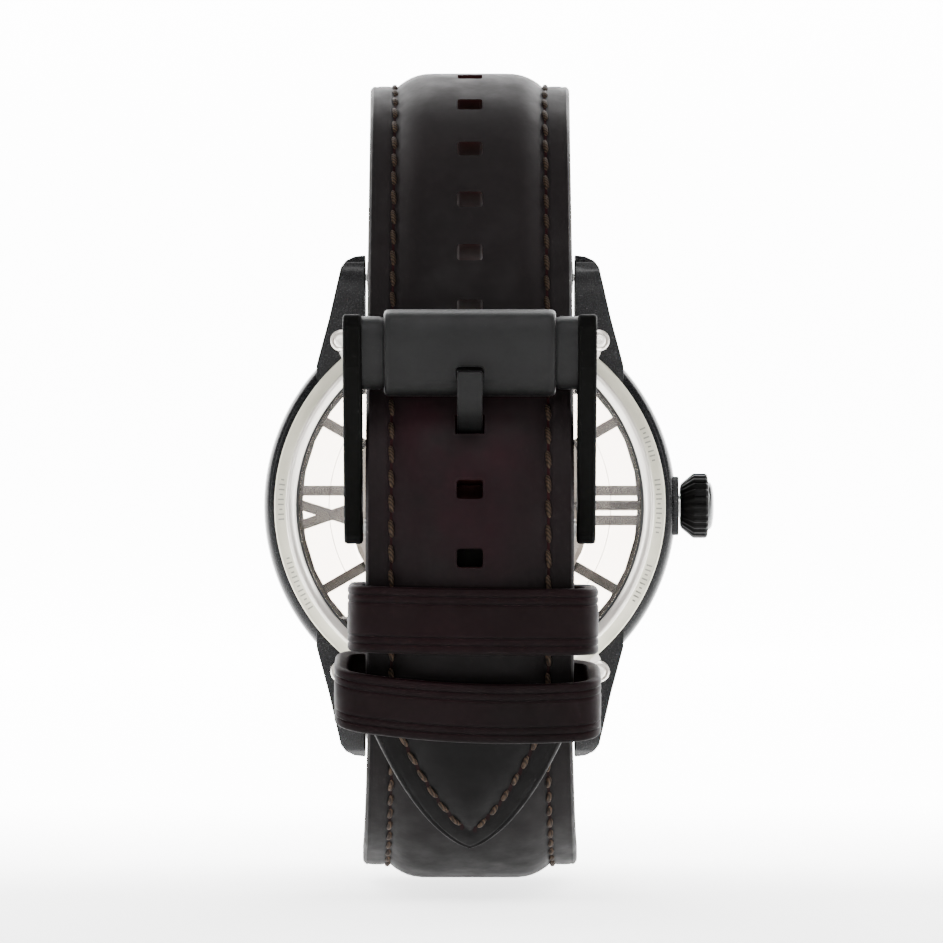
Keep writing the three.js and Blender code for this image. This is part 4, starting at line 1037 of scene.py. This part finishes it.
# %% [markdown]
# ## Keepers
# Two closed leather loops hold the strap's end: one is sewn in place, the other slides.
# Each is a rounded outline round both layers of strap, and at every point of it stands the
# profile of a leather band with two pressed lines and rounded edges. The strap is curved
# here, so the loop is set on the arc its CAD joint turns about. Leather loops never sit
# square: roll and tilt turn the loop a little, and sag lets its outer side hang.

# %% Keeper shapes
WALL = 1.2
_, p_end, q_end, h_end = walk(LUG_BAR, LONG_START, LONG_BENDS)[-1]
ARC_R = LONG_BENDS[-1][0] / (-LONG_BENDS[-1][1] * DEG)
ARC = (p_end + ARC_R * math.sin(h_end), q_end - ARC_R * math.cos(h_end))

def keeper_outline(w, r_in, r_out):
    lo, hi, side = r_in - WALL / 2, r_out + WALL / 2, w - WALL / 2
    corners = rounded([(-side, lo), (side, lo), (side, hi), (-side, hi)], 2.4, 7)
    fine = []
    for i, a in enumerate(corners):
        b = corners[(i + 1) % len(corners)]
        n = max(1, int(math.dist(a, b) / 1.2))
        for k in range(n):
            fine.append((a[0] + (b[0] - a[0]) * k / n, a[1] + (b[1] - a[1]) * k / n))
    return fine

def keeper_profile(half):
    # Pairs of a place across the band and a height over the middle of the leather.
    def groove(u):
        d = min(abs(abs(u) - (half - 0.85)), abs(abs(u) - (half - 1.55)))
        edge = max(0.0, 1 - (half - abs(u)) / 0.32)
        return WALL / 2 - 0.12 * math.exp(-(d / 0.1) ** 2) - 0.30 * edge ** 2
    places = {round(-half + 2 * half * k / 44, 4) for k in range(45)}
    for s in (-1, 1):
        places.add(s * (half - 0.1))
        for line in (0.85, 1.55):
            for near in (-0.12, -0.06, 0, 0.06, 0.12):
                places.add(round(s * (half - line + near), 4))
    inside = [(half, -0.1), (half - 0.15, -WALL / 2), (-half + 0.15, -WALL / 2), (-half, -0.1)]
    return [(u, groove(u)) for u in sorted(places)] + inside
print("keepers' arc", ARC, ARC_R)

# %% [markdown]
# ## Placing the keepers
# The same function makes both loops; only the numbers differ. The sewn one rides the case,
# and the loose one rides its own body, so it slides when its joint moves.

# %% Keepers
def keeper(name, node, body, angle, length, width, r_in, r_out, roll, sag, tilt, dx):
    w = width / 2
    fine = keeper_outline(w, r_in, r_out)
    profile = keeper_profile(length / 2)
    a, lean = angle * DEG, tilt * DEG
    rows = []
    bm = bmesh.new()
    for i in range(len(fine)):
        centre = Vector(fine[i])
        along = (Vector(fine[(i + 1) % len(fine)]) - Vector(fine[i - 1])).normalized()
        out = Vector((along.y, -along.x))
        row = []
        for u, thick in profile:
            x, r = centre + out * thick
            drop = sag * (1 - (x / w) ** 2) * (1 if r > (r_in + r_out) / 2 else 0)
            v = u - drop + roll * x / w
            rr = r_out + (r - r_out) * math.cos(lean) + v * math.sin(lean)
            zz = v * math.cos(lean) - (r - r_out) * math.sin(lean)
            depth = ARC[0] + rr * math.cos(a) + zz * math.sin(a)
            high = ARC[1] - rr * math.sin(a) + zz * math.cos(a)
            row.append(bm.verts.new(Vector((x + dx, -depth, high)) * MM))
        rows.append(row)
    add_ring_faces(bm, rows, True)
    ob = as_object(name, bm, keeper_skin, body, (node,), sharp=50)
    print(name, "faces", len(ob.data.polygons))

keeper("keeper_fixed", "fixed_keeper", "case", angle=9.6, length=6.3, width=23.8, r_in=27.7,
       r_out=35.75, roll=-0.15, sag=0.15, tilt=-8.6, dx=0.3)
keeper("keeper_sliding", "free_keeper", "sliding_loop", angle=22.4, length=5.7, width=25.4,
       r_in=28.6, r_out=36.4, roll=-0.55, sag=0.85, tilt=-13, dx=-0.2)

# %% [markdown]
# ## The buckle's barrel and collars
# The strap's end passes over a thick black barrel, oval in section and leaning with the
# arms. A scaled cylinder would look pinched at its sides, so the section is a superellipse,
# an ellipse with a power above 2, which is fuller at the corners. Rows of it at several
# places along X give the barrel its rounded ends. The seat that takes the tip of the tang
# is cut with a bevelled cutter, which rounds the seat at no further cost.

# %% Barrel and collars
BARREL_C = (55.1, 14.9)
LEAN = math.atan2(BARREL_C[0] - BUCKLE_BAR[0], BARREL_C[1] - BUCKLE_BAR[1])

def oval(a, b, count=72, power=2.5):
    pts = []
    for i in range(count):
        t = 2 * math.pi * i / count
        c, s = math.cos(t), math.sin(t)
        u = a * math.copysign(abs(c) ** (2 / power), c)
        v = b * math.copysign(abs(s) ** (2 / power), s)
        depth = BARREL_C[0] + u * math.cos(LEAN) + v * math.sin(LEAN)
        pts.append((-depth, BARREL_C[1] - u * math.sin(LEAN) + v * math.cos(LEAN)))
    return pts

def oval_loft(bm, specs):
    # Each spec: place along X and the two half sizes of the oval there.
    rows = []
    for x, a, b in specs:
        rows.append([bm.verts.new(Vector((x, y, z)) * MM) for y, z in oval(a, b)])
    bm.faces.new(rows[0])
    bm.faces.new(rows[-1])
    add_ring_faces(bm, rows)

bm = bmesh.new()
barrel_end = [(-8.12, 2.0, 3.75), (-8.05, 2.2, 3.97), (-7.85, 2.33, 4.1), (-7.4, 2.36, 4.15)]
oval_loft(bm, barrel_end + [(-x, a, b) for x, a, b in reversed(barrel_end)])
barrel = plain("buckle_barrel", bm, buckle_black)
cut = bmesh.new()
seat_line = TANG[4:] + [(57.55, 13.5)]
prism_into(cut, [(-p, q) for p, q in band(seat_line, 1.7)], -1.36, 1.36, "X")
tool = plain("tool", cut, buckle_black)
bevel_edges(tool, 0.4, 3, 50, False)
boolean(barrel, tool)
soften(barrel, 40)
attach(barrel, "buckle")
bm = bmesh.new()
for sx in (-1, 1):
    oval_loft(bm, [(sx * 10.4, 1.95, 3.5), (sx * 8.6, 1.95, 3.5), (sx * 8.0, 1.8, 3.3)])
as_object("buckle_collars", bm, buckle_black, "buckle", (), sharp=40, bevel=0.1)
print("barrel faces", len(barrel.data.polygons), "lean", round(LEAN / DEG, 1))

# %% [markdown]
# ## The buckle's arms and tang
# The arms are flat forged bars, so one outline is pushed along X twice. The tang is a bent
# strip with an eye round the bar; its outline is a band of even thickness about the same
# line that cut its slot in the strap, so strip and slot agree when the line is changed.

# %% Arms and tang
ARM_IN, ARM_OUT = 10.2, 12.0
TANG_HALF = 1.2
arm = [(49.2, -2.1), (49.7, -3.1), (51.3, -3.3), (52.2, -2.4), (55.0, 7.5), (57.2, 13.5),
       (57.9, 17.4), (57.2, 18.5), (55.2, 18.5), (53.4, 16.6), (52.0, 10), (50.3, 3)]
outline = rounded([(-p, q) for p, q in arm], 0.7, 3)
bm = bmesh.new()
prism_into(bm, outline, -ARM_OUT, -ARM_IN, "X")
prism_into(bm, outline, ARM_IN, ARM_OUT, "X")
as_object("buckle_arms", bm, arm_black, "buckle", ("buckle_frame",), sharp=40,
          bevel=0.3)
bm = bmesh.new()
pin_line = [(TANG[0][0], -0.6)] + TANG[1:]
prism_into(bm, [(-p, q) for p, q in band(pin_line, 1.2)], -TANG_HALF, TANG_HALF, "X")
eye = [(0.92, -TANG_HALF), (0.92, TANG_HALF), (1.24, TANG_HALF), (1.24, -TANG_HALF)]
lathe_into(bm, eye, 32, (-BUCKLE_BAR[0], BUCKLE_BAR[1]), "X")
as_object("buckle_pin", bm, buckle_black, "tang", ("buckle_tang",), sharp=50,
          bevel=0.28)
print("buckle width", 2 * ARM_OUT)

# %% [markdown]
# ## Table and background
# In a studio a product stands on a sweep: a sheet that runs level under it and curves up
# behind, so that no horizon shows. A curve could be extruded for it; one strip of faces is
# enough. Three far white screens close the other sides. They stand for a bright room and
# give the glass and the steel something to reflect.

# %% Sweep
FLOOR_HALF, FLAT_END, BEND_R, WALL_TOP = 3000, 560, 200, 1700
SCREEN_FAR, SCREEN_HIGH = 2990, 560
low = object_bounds()[0][2] / MM - 0.3
profile = [(-FLOOR_HALF, low), (60, low), (FLAT_END, low)]
for k in range(1, 11):
    t = k * 9 * DEG
    profile.append((FLAT_END + BEND_R * math.sin(t), low + BEND_R * (1 - math.cos(t))))
profile.append((FLAT_END + BEND_R, WALL_TOP))
bm = bmesh.new()
rows = []
for y, z in profile:
    rows.append([bm.verts.new(Vector((x, y, z)) * MM) for x in (-FLOOR_HALF, FLOOR_HALF)])
for a, b in zip(rows, rows[1:]):
    bm.faces.new((a[0], a[1], b[1], b[0]))
screens = (((-SCREEN_FAR, -600), (-SCREEN_FAR, 500)), ((SCREEN_FAR, 500), (SCREEN_FAR, -600)),
           ((600, -SCREEN_FAR), (-600, -SCREEN_FAR)))
for ends in screens:
    lower = [bm.verts.new(Vector((x, y, low - 5)) * MM) for x, y in ends]
    upper = [bm.verts.new(Vector((x, y, low + SCREEN_HIGH)) * MM) for x, y in ends]
    bm.faces.new((lower[0], lower[1], upper[1], upper[0])).material_index = 1
floor = plain("table_sweep", bm)
for p in floor.data.polygons:
    p.use_smooth = True
print("sweep faces", len(floor.data.polygons), "floor at", round(low, 2))

# %% [markdown]
# ## White paper and white screens
# The paper glows a little under the watch and more and more behind it. Lamps on a wall
# would do this in a studio, but here they would also spill on the case; light from the
# sheet itself keeps the background white and can be set by distance.

# %% Paper and screens
PAPER = [(0.2, (0.90, 0.90, 0.895)), (0.8, (0.93, 0.93, 0.925))]
m, nt, bsdf, vec = nodes_of("white sweep")
nt.links.new(ramp(nt, noise(nt, vec, 6), PAPER), bsdf.inputs["Base Color"])
bsdf.inputs["Roughness"].default_value = 0.9
bsdf.inputs["Specular IOR Level"].default_value = 0.0
bsdf.inputs["Emission Color"].default_value = (1, 1, 1, 1)
# The glow starts at Y = -0.12 m, is 2 from -0.08 m to -0.04 m and reaches 10 at 0.09 m.
away = parts_of(nt, vec)["Y"]
glow = product(nt, span(nt, away, 0.0, 1.0, -0.12, -0.08), span(nt, away, 2.0, 10.0, -0.04, 0.09))
nt.links.new(glow, bsdf.inputs["Emission Strength"])
floor.data.materials.append(m)
m, nt, bsdf, vec = nodes_of("far white screen")
nt.links.new(ramp(nt, noise(nt, vec, 6), PAPER), bsdf.inputs["Emission Color"])
bsdf.inputs["Emission Strength"].default_value = 1.6
floor.data.materials.append(m)
print("stage materials", len(floor.data.materials))

# %% [markdown]
# ## Light
# Black coats show shape only by the edges of what they reflect. Four rectangular area
# lights do it: a broad one above for the tops, two tall strips at the sides for the flank,
# and a weaker fill from the front for the leather. A single strong lamp would give hard
# shadows and one hot spot. The world adds a faint cool light so that nothing is pure black.

# %% World and area lights
world = bpy.data.worlds.new("studio")
bpy.context.scene.world = world
world.use_nodes = True
background = world.node_tree.nodes["Background"]
background.inputs["Color"].default_value = (0.95, 0.97, 1.0, 1)
background.inputs["Strength"].default_value = 0.07

def area(name, where, size, power):
    d = bpy.data.lights.new(name, "AREA")
    d.shape = "RECTANGLE"
    d.size = size[0] * MM
    d.size_y = size[1] * MM
    d.energy = power
    ob = bpy.data.objects.new(name, d)
    bpy.context.scene.collection.objects.link(ob)
    ob.location = Vector(where) * MM
    look = Vector((0, -30, 0)) - Vector(where)
    ob.rotation_euler = look.to_track_quat("-Z", "Y").to_euler()

area("top_soft", (0, -330, 420), (260, 160), 1.7)
area("left_strip", (-420, -330, 60), (70, 320), 0.65)
area("right_strip", (420, -330, 60), (70, 320), 0.65)
area("front_fill", (40, -660, 330), (160, 120), 1.1)
print("lights", len(bpy.data.lights))

# %% [markdown]
# ## Camera
# A watch seen from close by with a short lens bulges towards the viewer. A camera half a
# metre away with a long lens keeps the case round and the strap in proportion. The lens is
# worked out from the width that has to fit at that distance.

# %% Camera
SENSOR = 36
CAMERA_AWAY = 505
VIEW_WIDTH = 100.2
cam_data = bpy.data.cameras.new("camera")
cam = bpy.data.objects.new("camera", cam_data)
bpy.context.scene.collection.objects.link(cam)
bpy.context.scene.camera = cam
cam_data.sensor_width = SENSOR
cam_data.lens = SENSOR * CAMERA_AWAY / VIEW_WIDTH
cam_data.clip_start = 0.01
cam.location = Vector((0.16, -CAMERA_AWAY, 3.67)) * MM
cam.rotation_euler = (math.pi / 2, 0, 0)
print("lens", round(cam_data.lens, 1))
